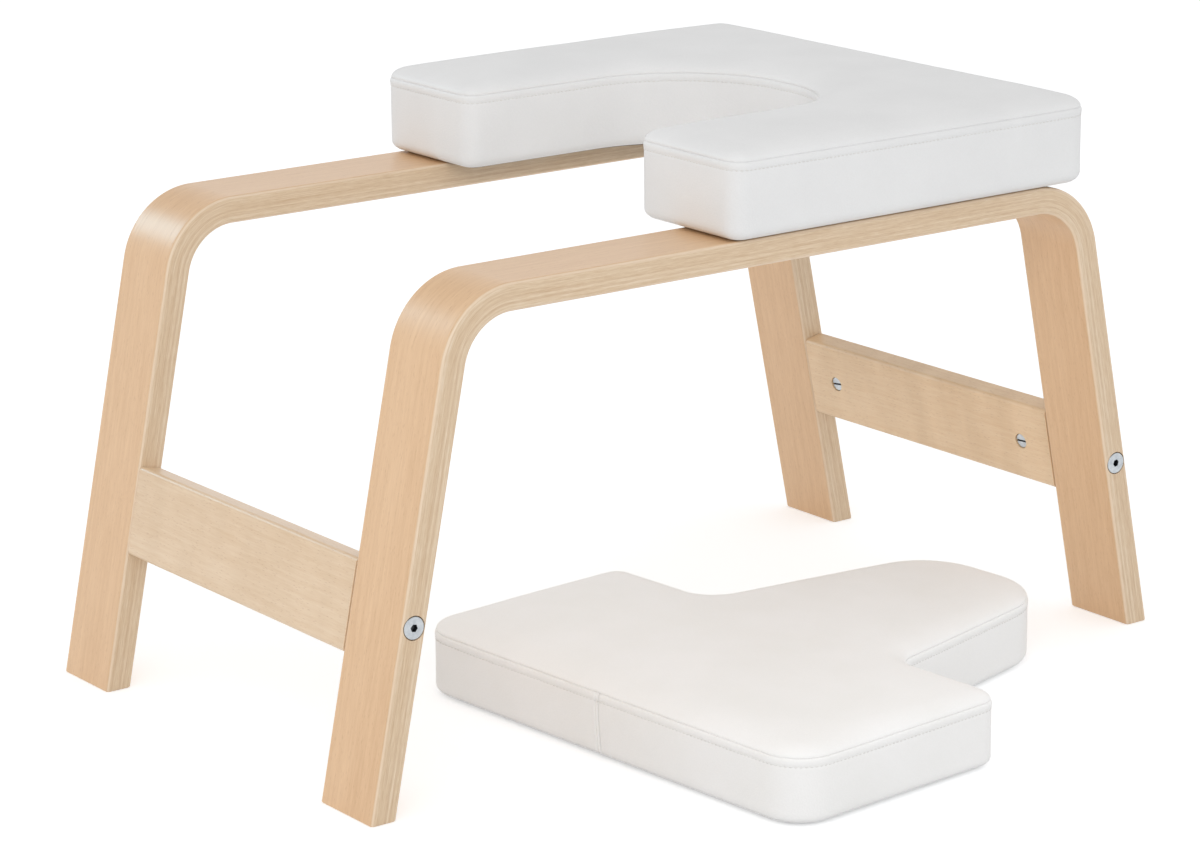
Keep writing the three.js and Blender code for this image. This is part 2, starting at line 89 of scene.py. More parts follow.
# A bright, even studio: a pale sky that is dimmer overhead, one weak soft lamp above the stool's
# right front, and a white floor that fades into the background and keeps the shadow. A small cool
# lamp at the left shows only as a gleam on what is glossy, above all on the bends.
sky_low_level = 1.03
sky_high_level = 0.7
shine_fade_start = 0.36
shine_fade_end = 0.62
ceiling_shine = 0.25
floor_reach = 30
floor_colour = (0.81, 0.82, 0.83, 1)
floor_glow = 0.44


def feed(tree, socket, value):
    """Links an input socket to an output socket, or sets it to a plain value."""
    if isinstance(value, bpy.types.NodeSocket):
        tree.links.new(value, socket)
    else:
        socket.default_value = value


def add_node(tree, kind, values=(), **settings):
    """A shader node with its settings, and its input sockets fed by name or number."""
    made = tree.nodes.new(f"ShaderNode{kind}")
    for key, value in settings.items():
        setattr(made, key, value)
    for key, value in dict(values).items():
        feed(tree, made.inputs[key], value)
    return made


def worked(tree, operation, *terms, clamp=False):
    """One step of arithmetic on sockets or numbers."""
    made = add_node(tree, "Math", enumerate(terms), operation=operation, use_clamp=clamp)
    return made.outputs[0]


def sky_fade(low, high, at_low, at_high):
    """The sky's strength as a smooth change with height above the horizon."""
    made = add_node(sky_tree, "MapRange", {
        "Value": sky_height, "From Min": low, "From Max": high, "To Min": at_low, "To Max": at_high,
    }, interpolation_type="SMOOTHSTEP")
    return made.outputs["Result"]


def sky_chosen(ray, otherwise, strength):
    """One strength for a kind of ray, and another for all the rest."""
    return add_node(sky_tree, "Mix", {0: sky_ray[ray], 2: otherwise, 3: strength}).outputs[0]


def add_lamp(name, size, power, place, aim):
    """A square lamp that faces the point it is aimed at."""
    lamp_data = bpy.data.lights.new(name, "AREA")
    lamp_data.energy = power
    lamp_data.size = size
    lamp = put_in_scene(name, lamp_data)
    lamp.location = place
    lamp.rotation_euler = (aim - place).to_track_quat("-Z", "Y").to_euler()
    return lamp


sky = bpy.data.worlds.new("sky")
bpy.context.scene.world = sky
sky.use_nodes = True
sky_tree = sky.node_tree
sky_tree.nodes.clear()
sky_direction = add_node(sky_tree, "TexCoord").outputs["Generated"]
sky_height = add_node(sky_tree, "SeparateXYZ", {0: sky_direction}).outputs["Z"]
sky_ray = add_node(sky_tree, "LightPath").outputs
sky_strength = sky_fade(0, 1, sky_low_level, sky_high_level)
sky_shine = sky_fade(shine_fade_start, shine_fade_end, 1, ceiling_shine)
sky_strength = sky_chosen("Is Glossy Ray", sky_strength, sky_shine)
sky_strength = sky_chosen("Is Transmission Ray", sky_strength, 1)
sky_strength = sky_chosen("Is Camera Ray", sky_strength, 1)
sky_light = add_node(sky_tree, "Background", {"Color": (1, 1, 1, 1), "Strength": sky_strength})
add_node(sky_tree, "OutputWorld", {0: sky_light.outputs[0]})

add_lamp(
    "soft_lamp", size=1.6, power=11,
    place=Vector((-1.6, -1.8, 1.6)), aim=Vector((0, stool_middle, 0.2)),
)
gleam_lamp = add_lamp(
    "gleam_lamp", size=0.33, power=2,
    place=Vector((-0.55, 1.07, 0.74)), aim=Vector((-0.25, stool_middle, 0.29)),
)
gleam_lamp.data.color = (0.45, 0.8, 1)
gleam_lamp.visible_diffuse = False
gleam_lamp.visible_camera = False

floor_mesh = bpy.data.meshes.new("floor")
floor_corners = [(-1, -1), (1, -1), (1, 1), (-1, 1)]
floor_mesh.from_pydata(
    [(x * floor_reach, y * floor_reach, 0) for x, y in floor_corners], [], [(0, 1, 2, 3)]
)
floor = put_in_scene("floor", floor_mesh)
floor_finish = bpy.data.materials.new("white_floor")
floor_finish.use_nodes = True
floor_tree = floor_finish.node_tree
floor_tree.nodes.clear()
floor_ray = add_node(floor_tree, "LightPath").outputs
seen = worked(floor_tree, "MAXIMUM", floor_ray["Is Camera Ray"], floor_ray["Is Glossy Ray"])
seen = worked(floor_tree, "MAXIMUM", seen, floor_ray["Is Transmission Ray"])
floor_shine = add_node(
    floor_tree, "Emission", {"Strength": worked(floor_tree, "MULTIPLY", seen, floor_glow)}
)
floor_paint = add_node(floor_tree, "BsdfDiffuse", {"Color": floor_colour})
floor_sum = add_node(
    floor_tree, "AddShader", {0: floor_paint.outputs[0], 1: floor_shine.outputs[0]}
)
add_node(floor_tree, "OutputMaterial", {0: floor_sum.outputs[0]})
floor_mesh.materials.append(floor_finish)

# The two frames: each is one strip of beech veneers, glued and bent over a form into two legs and
# a rail, its long edges rounded, cut level at the feet and finished with satin lacquer. A
# counterbored hole in each leg takes a connector bolt, with two dowel sockets on the inner side.
quarter_turn = math.pi / 2
fit_gap = 0.0003
cut_overrun = 0.004
rail_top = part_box("right_frame_rail")[1].z
rail_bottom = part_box("right_frame_rail")[0].z
strip_thickness = rail_top - rail_bottom
strip_width = 0.055
half_stool_width = (stool_left_side - stool_right_side) / 2
leg_splay = math.radians(11.67)
bend_outer_radius = 0.052
strip_edge_radius = 0.0024
strip_edge_steps = 6
sole_chamfer = 0.0007
leg_steps = 6
figure_offset = 3.0
bend_steps = 44
half_stool_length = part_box("right_frame_rear_leg")[1].x
middle_radius = bend_outer_radius - strip_thickness / 2
bend_centre_z = rail_top - bend_outer_radius
bend_centre_x = (
    half_stool_length - bend_centre_z * math.tan(leg_splay) - bend_outer_radius / math.cos(leg_splay)
)
bend_angle = quarter_turn - leg_splay
stretcher_mid_height = 0.1162
sole_length = strip_thickness / math.cos(leg_splay)
stretcher_mid_x = half_stool_length - sole_length / 2 - stretcher_mid_height * math.tan(leg_splay)
bolt_head_radius = 0.0071
bolt_head_gap = 0.0005
bolt_head_thickness = 0.0022
bolt_shank_radius = 0.003
dowel_radius = 0.004
dowel_in_frame = 0.016
dowel_spacing = 0.034
seat_bolt_rows = [
    (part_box(f"seat_{row}_left_bolt")[0].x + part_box(f"seat_{row}_left_bolt")[1].x) / 2
    for row in ("front", "rear")
]
hole_sides = 40
y_to_z = Matrix.Rotation(quarter_turn, 4, "X")


def section_of(half_depth, half_width, radius, steps):
    """The closed section of a board with rounded edges, as (depth, width) pairs: four quarter
    circles whose centres lie one radius in from the corners of the rectangle."""
    corner = np.arange(4).repeat(steps + 1)
    angle = corner * quarter_turn + np.tile(np.linspace(0, quarter_turn, steps + 1), 4)
    depth_side = np.sign(np.cos(corner * quarter_turn + quarter_turn / 2))
    width_side = np.sign(np.sin(corner * quarter_turn + quarter_turn / 2))
    depth = depth_side * (half_depth - radius) + radius * np.cos(angle)
    width = width_side * (half_width - radius) + radius * np.sin(angle)
    return np.stack([depth, width], 1)


def ring_quads(rows, columns):
    """The quads between the rings of a grid whose columns close on themselves."""
    index = np.arange(rows * columns).reshape(rows, columns)
    following = np.roll(index, -1, axis=1)
    quads = np.stack([index[:-1], following[:-1], following[1:], index[1:]], -1)
    return quads.reshape(-1, 4).tolist()


def lidded(rings, flipped=False):
    """The closed form round a stack of rings, with a flat lid on the first ring and one on the
    last, as a pair of its points and faces."""
    rows, columns = rings.shape[:2]
    last = (rows - 1) * columns
    lids = [list(range(columns))[::-1], list(range(last, last + columns))]
    faces = ring_quads(rows, columns) + lids
    if flipped:
        faces = [face[::-1] for face in faces]
    return rings.reshape(-1, 3), faces


def joined(shapes):
    """Several (points, faces) pairs as one pair."""
    points, faces, count = [], [], 0
    for part_points, part_faces in shapes:
        points.append(part_points)
        faces += [[count + corner for corner in face] for face in part_faces]
        count += len(part_points)
    return np.concatenate(points), faces


def placed(shape, matrix):
    """The (points, faces) pair carried to its place by a matrix."""
    points, faces = shape
    turn = np.array(matrix.to_3x3())
    return points @ turn.T + np.array(matrix.translation), faces


def turned(profile, sides):
    """A form turned about the Y axis from (radius, y) pairs: each pair is a ring of points at
    (r sin a, y, r cos a), with flat ends."""
    radius, along = np.array(profile, float).T
    angle = np.arange(sides) * 2 * math.pi / sides
    return lidded(np.stack([
        radius[:, None] * np.sin(angle),
        along[:, None] + 0 * angle,
        radius[:, None] * np.cos(angle),
    ], -1))


def drill(radius, start, end):
    """A round tool along Y, a fit gap wider than what goes into its hole."""
    return turned([(radius + fit_gap, start), (radius + fit_gap, end)], hole_sides)


def strip_rings(section, theta, side, share, lift):
    """Rings of the bent strip. Each ring's normal leans theta from upright, and its points lie at
    the bend's centre + (middle radius + depth) (sin theta, cos theta), slid down the leg by a share
    of the way to the height lift over the floor."""
    out = middle_radius + section[:, 0]
    to_floor = (bend_centre_z - lift + out * math.sin(leg_splay)) / math.cos(leg_splay)
    down = share[:, None] * to_floor
    x = side[:, None] * (bend_centre_x + down * math.sin(leg_splay)) + np.sin(theta)[:, None] * out
    z = bend_centre_z + np.cos(theta)[:, None] * out - down * math.cos(leg_splay)
    y = section[:, 1] + 0 * down
    return np.stack([x, y, z], -1)


def bent_strip():
    """The strip from its front sole over both bends to its rear sole."""
    section = section_of(strip_thickness / 2, strip_width / 2, strip_edge_radius, strip_edge_steps)
    sole = section_of(
        strip_thickness / 2 - sole_chamfer, strip_width / 2 - sole_chamfer,
        strip_edge_radius - sole_chamfer, strip_edge_steps,
    )
    down_leg = np.linspace(1, 0, leg_steps + 1)
    arc = np.linspace(bend_angle, 0, bend_steps + 1)[1:]
    lean = np.concatenate([np.full(leg_steps + 1, bend_angle), arc])
    share = np.concatenate([down_leg, np.zeros(bend_steps)])
    ones = np.ones(len(lean))
    front = strip_rings(section, -lean, -ones, share, sole_chamfer)
    rear = strip_rings(section, lean[::-1], ones, share[::-1], sole_chamfer)
    one = np.ones(1)
    front_sole = strip_rings(sole, -bend_angle * one, -one, one, 0)
    rear_sole = strip_rings(sole, bend_angle * one, one, one, 0)
    rings = np.concatenate([front_sole, front, rear, rear_sole])
    return lidded(rings, flipped=True)


def strip_coordinates(points):
    """How far each point lies along, across and through the strip. On a bend the distance along
    is the middle radius times the angle turned, and on a leg it goes on straight."""
    x = np.abs(points[:, 0]) - bend_centre_x
    z = points[:, 2] - bend_centre_z
    angle = np.arctan2(x, z)
    leg_out = x * math.cos(leg_splay) + z * math.sin(leg_splay)
    leg_down = x * math.sin(leg_splay) - z * math.cos(leg_splay)
    on_rail = x < 0
    on_leg = ~on_rail & (angle > bend_angle)
    along = np.where(on_rail, x, middle_radius * angle)
    along = np.where(on_leg, middle_radius * bend_angle + leg_down, along) + bend_centre_x
    through = np.where(on_rail, z, np.hypot(x, z))
    through = np.where(on_leg, leg_out, through) - middle_radius
    return np.stack([along * np.sign(points[:, 0]), points[:, 1], through], 1)


def lean_matrix(end):
    """The place of a stretcher: half way through the legs, leaning with them."""
    place = Vector((end * stretcher_mid_x, stool_middle, stretcher_mid_height))
    return Matrix.Translation(place) @ Matrix.Rotation(-end * leg_splay, 4, "Y")


def add_object(name, shape, finishes):
    """A mesh object from a (points, faces) pair, shaded smooth."""
    points, faces = shape
    mesh = bpy.data.meshes.new(name)
    mesh.from_pydata(points.tolist(), [], faces)
    for finish in finishes:
        mesh.materials.append(finish)
    mesh.polygons.foreach_set("use_smooth", np.ones(len(mesh.polygons), bool))
    return put_in_scene(name, mesh)


def apply_modifiers(piece):
    """Puts what the modifiers make into the piece's own mesh."""
    seen = piece.evaluated_get(bpy.context.evaluated_depsgraph_get())
    finished = bpy.data.meshes.new_from_object(seen)
    plain = piece.data
    piece.modifiers.clear()
    piece.data = finished
    bpy.data.meshes.remove(plain)


def discard(piece):
    """Removes an object and its mesh."""
    mesh = piece.data
    bpy.data.objects.remove(piece)
    bpy.data.meshes.remove(mesh)


def cut_out(piece, tool_shapes):
    """Takes closed shapes that don't touch each other out of a piece."""
    tool = add_object("cutting_tool", joined(tool_shapes), [])
    cut = piece.modifiers.new("cut", "BOOLEAN")
    cut.operation = "DIFFERENCE"
    cut.solver = "EXACT"
    cut.object = tool
    apply_modifiers(piece)
    discard(tool)


def crisp(piece, angle=0.6):
    """Smooth shading that stays sharp where two faces meet at more than the angle, with normals
    that lie flat on the large faces."""
    piece.data.set_sharp_from_angle(angle=angle)
    flat = piece.modifiers.new("flat_faces", "WEIGHTED_NORMAL")
    flat.keep_sharp = True
    flat.weight = 90


def set_attribute(piece, name, values):
    """Stores one vector per vertex for the material to read."""
    attribute = piece.data.attributes.new(name, "FLOAT_VECTOR", "POINT")
    attribute.data.foreach_set("vector", np.asarray(values, np.float32).ravel())


def vertices_of(piece):
    """The vertices' places as one array."""
    values = np.empty(3 * len(piece.data.vertices), np.float32)
    piece.data.vertices.foreach_get("co", values)
    return values.reshape(-1, 3)


def new_material(name, values):
    """A material of one Principled BSDF with the given values, its nodes and that shader."""
    made = bpy.data.materials.new(name)
    made.use_nodes = True
    shader = made.node_tree.nodes["Principled BSDF"]
    for key, value in values.items():
        shader.inputs[key].default_value = value
    return made, made.node_tree, shader


def linear(red, green, blue):
    """A colour given in display values from 0 to 255, as linear light with alpha 1."""
    share = np.array([red, green, blue]) / 255
    light = np.where(share > 0.04045, ((share + 0.055) / 1.055) ** 2.4, share / 12.92)
    return (*light.tolist(), 1)


def ramp(tree, source, stops):
    """A colour ramp through (position, colour) pairs, fed by a value."""
    made = add_node(tree, "ValToRGB", {"Fac": source})
    elements = made.color_ramp.elements
    while len(elements) < len(stops):
        elements.new(1)
    for element, (position, colour) in zip(elements, stops):
        element.position = position
        element.color = colour
    return made.outputs["Color"]


def mixed(tree, factor, first, second, blend="MIX"):
    """Two colours mixed by a factor; each of the three is a socket or a plain value."""
    values = {0: factor, 6: first, 7: second}
    return add_node(tree, "Mix", values, data_type="RGBA", blend_type=blend).outputs[2]


def weighted(tree, *terms):
    """The sum of (value, weight) pairs, each value times its weight."""
    total = 0
    for value, weight in terms:
        total = worked(tree, "MULTIPLY_ADD", value, weight, total)
    return total


def stretched(tree, vector, scale):
    """The vector with each of its three parts scaled by itself."""
    return add_node(tree, "VectorMath", {0: vector, 1: scale}, operation="MULTIPLY").outputs[0]


def streaks(tree, vector, scale, detail, roughness=0.5):
    """Noise on a stretched vector, so that it runs in streaks."""
    return add_node(tree, "TexNoise", {
        "Vector": stretched(tree, vector, scale),
        "Scale": 1, "Detail": detail, "Roughness": roughness,
    }).outputs["Fac"]


def finish_surface(tree, shader, colour, height, strength, distance):
    """Feeds the shader a colour, and a height that shows as a faint relief."""
    relief = add_node(tree, "Bump", {"Strength": strength, "Distance": distance, "Height": height})
    feed(tree, shader.inputs["Base Color"], colour)
    feed(tree, shader.inputs["Normal"], relief.outputs["Normal"])


def beech_grain_group():
    """What all the beech shows: fibres that run along it, slow changes of tone, and the short
    darker flecks of the wood's rays. The vector's parts are metres along, across and through."""
    ray_threshold = 0.52
    ray_sharpness = 3.2
    group = bpy.data.node_groups.new("beech_grain", "ShaderNodeTree")
    group.interface.new_socket("Vector", in_out="INPUT", socket_type="NodeSocketVector")
    for name in ("Fibre", "Tone", "Fleck"):
        group.interface.new_socket(name, in_out="OUTPUT", socket_type="NodeSocketFloat")
    vector = group.nodes.new("NodeGroupInput").outputs["Vector"]
    leave = group.nodes.new("NodeGroupOutput")
    broad = streaks(group, vector, (24, 380, 380), 4, 0.65)
    fine = streaks(group, vector, (110, 1600, 1600), 2)
    rays = add_node(group, "TexVoronoi", {
        "Vector": stretched(group, vector, (190, 1250, 1250)), "Scale": 1, "Randomness": 1,
    })
    has_ray = worked(group, "GREATER_THAN", rays.outputs["Color"], ray_threshold)
    off_ray = worked(group, "MULTIPLY", rays.outputs["Distance"], ray_sharpness)
    on_ray = worked(group, "SUBTRACT", 1, off_ray, clamp=True)
    feed(group, leave.inputs["Fibre"], weighted(group, (broad, 0.65), (fine, 0.35)))
    feed(group, leave.inputs["Tone"], streaks(group, vector, (2.2, 24, 24), 2))
    feed(group, leave.inputs["Fleck"], worked(group, "MULTIPLY", has_ray, on_ray))
    return group


beech_grain = beech_grain_group()
lacquer = {"Roughness": 0.45, "Coat Weight": 0.6, "Coat Roughness": 0.3, "Specular IOR Level": 0.45}


def beech_colour(tree, vector, pale, deep, fleck_colour, fleck_share):
    """The colour of a beech face and its fibre value, from the shared grain."""
    grain = add_node(tree, "Group", {"Vector": vector}, node_tree=beech_grain)
    fibre = grain.outputs["Fibre"]
    blend = weighted(tree, (fibre, 0.7), (grain.outputs["Tone"], 0.3))
    wood = ramp(tree, blend, [(0.36, deep), (0.64, pale)])
    fleck = worked(tree, "MULTIPLY", grain.outputs["Fleck"], fleck_share)
    return mixed(tree, fleck, wood, fleck_colour), fibre


def bent_beech_material():
    """Beech veneer on the broad faces, and on the long edges the glued layers, each of its own
    tone, with thin darker glue lines between them. The rounded arris has a painted highlight line."""
    layer_thickness = 0.0016
    layers_offset = 20.5
    glue_line_start = 0.43
    glue_line_share = 0.12
    edge_start = strip_width / 2 - strip_edge_radius
    # The painted highlight on the rounded arris: where its middle lies, its reach to each side, and its
    # strength.
    arris_middle = edge_start + 0.7 * strip_edge_radius
    arris_reach = 0.3 * strip_edge_radius
    arris_highlight_share = 0.6
    made, tree, shader = new_material("bent_beech", lacquer)
    vector = add_node(tree, "Attribute", attribute_name="strip").outputs["Vector"]
    face, fibre = beech_colour(
        tree, vector, linear(239, 200, 157), linear(223, 180, 134), linear(190, 140, 95), 0.62
    )
    parts = add_node(tree, "SeparateXYZ", {0: vector}).outputs
    across = worked(tree, "ABSOLUTE", parts["Y"])
    layer = worked(tree, "ADD", worked(tree, "DIVIDE", parts["Z"], layer_thickness), layers_offset)
    layer_tone = add_node(
        tree, "TexWhiteNoise", {"W": worked(tree, "FLOOR", layer)}, noise_dimensions="1D"
    )
    edge_blend = weighted(
        tree,
        (layer_tone.outputs["Value"], 0.7 * 0.12),
        (streaks(tree, vector, (38, 300, 1900), 4, 0.7), 0.7 * 0.53),
        (streaks(tree, vector, (9, 60, 520), 3, 0.6), 0.7 * 0.35),
        (streaks(tree, vector, (150, 1500, 2600), 2, 0.6), 0.3),
    )
    edge = ramp(tree, edge_blend, [
        (0.36, linear(205, 173, 137)), (0.5, linear(222, 196, 163)), (0.64, linear(237, 217, 192)),
    ])
    from_line = worked(tree, "SUBTRACT", worked(tree, "FRACT", layer), 0.5)
    glue_line = worked(tree, "GREATER_THAN", worked(tree, "ABSOLUTE", from_line), glue_line_start)
    glue_line = worked(tree, "MULTIPLY", glue_line, glue_line_share)
    edge = mixed(tree, glue_line, edge, linear(196, 154, 112))
    on_edge = add_node(tree, "MapRange", {
        "Value": across, "From Min": edge_start + 0.0004, "From Max": edge_start + 0.0017,
        "To Min": 0, "To Max": 1,
    })
    # A paler band along the rounded arris, painted as a highlight.
    from_arris = worked(tree, "ABSOLUTE", worked(tree, "SUBTRACT", across, arris_middle))
    arris = worked(tree, "DIVIDE", from_arris, arris_reach)
    arris = worked(tree, "SUBTRACT", 1, arris, clamp=True)
    arris = worked(tree, "MULTIPLY", arris, arris_highlight_share)
    wood = mixed(tree, on_edge.outputs[0], face, edge)
    wood = mixed(tree, arris, wood, linear(250, 225, 198))
    finish_surface(tree, shader, wood, fibre, 0.12, 0.0004)
    return made


bent_beech = bent_beech_material()


def facing(turned_round):
    """No turn, or half a turn about X."""
    return Matrix.Rotation(math.pi, 4, "X") if turned_round else Matrix.Identity(4)


def frame_tools(side):
    """The holes of one frame: per leg a counterbored bolt hole and two dowel sockets, and in the
    rail two bolt holes for the seat."""
    outer = side * half_stool_width
    inner = side * (half_stool_width - strip_width)
    pocket_end = bolt_head_thickness + fit_gap
    bolt_hole = turned([
        (bolt_head_radius + bolt_head_gap, -cut_overrun),
        (bolt_head_radius + bolt_head_gap, pocket_end),
        (bolt_shank_radius + fit_gap, pocket_end),
        (bolt_shank_radius + fit_gap, strip_width + cut_overrun),
    ], hole_sides)
    socket = drill(dowel_radius, -cut_overrun, dowel_in_frame + fit_gap)
    tools = []
    for end in (-1, 1):
        leaning = lean_matrix(end)
        mouth = leaning @ Matrix.Translation((0, outer, 0)) @ facing(side > 0)
        tools.append(placed(bolt_hole, mouth))
        for level in (-1, 1):
            mouth = Matrix.Translation((0, inner, level * dowel_spacing / 2))
            tools.append(placed(socket, leaning @ mouth @ facing(side < 0)))
    rail_hole = drill(bolt_shank_radius, -strip_thickness - cut_overrun, cut_overrun)
    rail_middle = stool_middle + side * (half_stool_width - strip_width / 2)
    for x in seat_bolt_rows:
        tools.append(placed(rail_hole, Matrix.Translation((x, rail_middle, rail_top)) @ y_to_z))
    return tools


for hand, side in (("right", -1), ("left", 1)):
    across = stool_middle + side * (half_stool_width - strip_width / 2)
    strip_shape = placed(bent_strip(), Matrix.Translation((0, across, 0)))
    strip = add_object(f"{hand}_frame", strip_shape, [bent_beech])
    cut_out(strip, frame_tools(side))
    local = vertices_of(strip) - np.array([0, across, 0])
    along_offset = np.array([figure_offset * side, 0, 0])
    set_attribute(strip, "strip", strip_coordinates(local) + along_offset)
    crisp(strip)
    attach(strip, "stool")
    lengths = ("front_leg", "front_bend", "rail", "rear_bend", "rear_leg")
    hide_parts(*[f"{hand}_frame_{length}" for length in lengths])

# The two stretchers: planed bars of solid beech with rounded long edges, doweled and bolted
# between the legs. Each has a bored pocket for a barrel nut near each end, open to the inside.
# The front bar is the paler board; the rear one is more golden, with a faint cross figure.
stretcher_thickness = 0.0168
stretcher_height = 0.0575
stretcher_edge_radius = 0.003
stretcher_edge_steps = 8
stretcher_rings = 9
board_figure_offset = 5.0
inner_frame_y = half_stool_width - strip_width
nut_setback = 0.0285
nut_radius = 0.005
nut_recess = 0.0008
nut_back_wall = 0.003
bolt_past_nut = 0.004
dowel_in_stretcher = 0.020
nut_face = stretcher_thickness / 2 - nut_recess
nut_length = stretcher_thickness - nut_recess - nut_back_wall - fit_gap
nut_y = inner_frame_y - nut_setback


def stretcher_bar():
    """A bar along Y at the origin, its section a rectangle with rounded edges."""
    section = section_of(
        stretcher_thickness / 2, stretcher_height / 2, stretcher_edge_radius, stretcher_edge_steps
    )
    reach = inner_frame_y - fit_gap
    y = np.linspace(-reach, reach, stretcher_rings)
    return lidded(np.stack([
        section[:, 0] + 0 * y[:, None],
        0 * section[:, 0] + y[:, None],
        section[:, 1] + 0 * y[:, None],
    ], -1), flipped=True)


def stretcher_tools(end):
    """The bolt holes and dowel sockets of one stretcher, and the nut pockets that cross them."""
    past_end = inner_frame_y + cut_overrun
    bolt_hole = drill(bolt_shank_radius, nut_y - nut_radius - bolt_past_nut - fit_gap, past_end)
    socket = drill(dowel_radius, inner_frame_y - dowel_in_stretcher - fit_gap, past_end)
    pocket = drill(nut_radius, nut_face - nut_length - fit_gap, stretcher_thickness / 2 + cut_overrun)
    to_inside = Matrix.Rotation(end * quarter_turn, 4, "Z")
    holes, pockets = [], []
    for side in (-1, 1):
        mirror = facing(side < 0)
        holes.append(placed(bolt_hole, mirror))
        for level in (-1, 1):
            holes.append(placed(socket, mirror @ Matrix.Translation((0, 0, level * dowel_spacing / 2))))
        pockets.append(placed(pocket, Matrix.Translation((0, side * nut_y, 0)) @ to_inside))
    return holes, pockets


def carry(piece, matrix):
    """Moves the piece's own vertices by a matrix."""
    moved, _ = placed((vertices_of(piece), None), matrix)
    piece.data.vertices.foreach_set("co", moved.astype(np.float32).ravel())
    piece.data.update()


def solid_beech_material(name, pale, deep, figure_share, dash_share):
    """Solid beech, with soft bands across the grain and short dashes along it."""
    made, tree, shader = new_material(name, lacquer)
    vector = add_node(tree, "Attribute", attribute_name="board").outputs["Vector"]
    face, fibre = beech_colour(tree, vector, pale, deep, linear(184, 134, 88), dash_share)
    bands = streaks(tree, vector, (34, 9, 9), 2)
    shade = ramp(tree, bands, [(0.38, (0.86, 0.83, 0.79, 1)), (0.6, (1, 1, 1, 1))])
    face = mixed(tree, figure_share, face, shade, "MULTIPLY")
    finish_surface(tree, shader, face, fibre, 0.1, 0.0004)
    return made


front_beech = solid_beech_material(
    "front_beech", linear(240, 214, 182), linear(226, 194, 156), figure_share=0.25, dash_share=0.6
)
rear_beech = solid_beech_material(
    "rear_beech", linear(248, 219, 182), linear(236, 200, 157), figure_share=0.6, dash_share=0.55
)
for end_name, end, finish in (("front", -1, front_beech), ("rear", 1, rear_beech)):
    bar = add_object(f"{end_name}_stretcher", stretcher_bar(), [finish])
    for tools in stretcher_tools(end):
        cut_out(bar, tools)
    along_offset = np.array([board_figure_offset * end, 0, 0])
    set_attribute(bar, "board", vertices_of(bar)[:, [1, 2, 0]] + along_offset)
    carry(bar, lean_matrix(end))
    crisp(bar)
    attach(bar, "stool")
    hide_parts(f"{end_name}_stretcher")

# Connector bolts and barrel nuts: zinc-plated steel. Each bolt has a wide flat head with a hexagon
# socket, sunk flush into the leg's edge, and screws into a slotted barrel nut in the stretcher.
bolt_head_round = 0.0006
bolt_socket_width = 0.004
bolt_socket_depth = 0.003
bolt_socket_chamfer = 0.0004
bolt_length = strip_width + nut_setback + nut_radius + bolt_past_nut
bolt_tip_chamfer = 0.0008
nut_slot_width = 0.0013
nut_slot_depth = 0.0014
nut_edge_round = 0.0004
hardware_sides = 72
hardware_angle = 0.7
socket_rim_shade = 0.6


def rounded_rim(radius, start, rounding, steps, outwards):
    """(radius, along) pairs of a quarter circle that rounds a turned edge."""
    angle = np.linspace(0, quarter_turn, steps + 1)
    r = radius - rounding + rounding * np.sin(angle)
    along = start + outwards * rounding * (1 - np.cos(angle))
    return list(zip(r.tolist(), along.tolist()))


def socket_head(profile, sides, width, depth, face):
    """A turned piece whose face holds a hexagon socket. The socket's rings are hexagons: their
    radius at an angle is half the width over the cosine of the angle to the nearest flat."""
    points, _ = turned(profile, sides)
    rings = points.reshape(len(profile), sides, 3)
    angle = np.arange(sides) * 2 * math.pi / sides
    flat = width / 2 / np.cos((angle + math.pi / 6) % (math.pi / 3) - math.pi / 6)
    circle = np.stack([np.sin(angle), 0 * angle, np.cos(angle)], -1)

    def hexagon(scale, along):
        ring = circle * (flat * scale)[:, None]
        ring[:, 1] = along
        return ring

    inner = [
        hexagon(0.25, face + depth + width / 8),
        hexagon(0.99, face + depth),
        hexagon(1, face + bolt_socket_chamfer),
        hexagon(1.12, face),
    ]
    return lidded(np.concatenate([np.stack(inner), rings]))


def darken_socket(bolt):
    """Marks the socket's floor and the lower part of its walls, the head's first two rings, to be
    painted dark as shade."""
    recess = np.zeros((len(bolt.data.vertices), 3))
    recess[:2 * hardware_sides] = 1
    recess[2 * hardware_sides:3 * hardware_sides] = socket_rim_shade
    set_attribute(bolt, "recess", recess)


def object_place(tree):
    """The place of a point on its own object, in metres."""
    return add_node(tree, "TexCoord").outputs["Object"]


def zinc_material():
    """Bluish zinc plating: a slightly uneven, finely brushed grey, painted dark as shade in its
    hollows.
    """
    made, tree, shader = new_material("zinc_plating", {"Metallic": 1.0})
    place = object_place(tree)
    cloud = add_node(tree, "TexNoise", {"Vector": place, "Scale": 260, "Detail": 3}).outputs["Fac"]
    scratch = add_node(tree, "TexNoise", {"Vector": place, "Scale": 2400, "Detail": 2}).outputs["Fac"]
    tint = ramp(tree, cloud, [(0.35, (0.46, 0.49, 0.52, 1)), (0.65, (0.60, 0.63, 0.65, 1))])
    recess = add_node(tree, "Attribute", attribute_name="recess")
    # Painted shade: the marked hollows are mixed towards near black.
    shadow = worked(tree, "MULTIPLY", recess.outputs["Fac"], 0.93)
    colour = mixed(tree, shadow, tint, (0.02, 0.022, 0.025, 1))
    rough = add_node(tree, "MapRange", {"Value": cloud, "To Min": 0.26, "To Max": 0.42})
    feed(tree, shader.inputs["Roughness"], rough.outputs[0])
    finish_surface(tree, shader, colour, scratch, 0.12, 0.0001)
    return made


def raw_beech_material():
    """Unfinished beech for the dowels, which nothing shows once the joint is closed."""
    made, tree, shader = new_material("raw_beech", {"Roughness": 0.7})
    along = add_node(tree, "Mapping", {"Vector": object_place(tree), "Rotation": (0, 0, quarter_turn)})
    face, fibre = beech_colour(
        tree, along.outputs[0], linear(226, 196, 156), linear(206, 168, 124), linear(180, 132, 90), 0.4
    )
    finish_surface(tree, shader, face, fibre, 0.2, 0.0004)
    return made


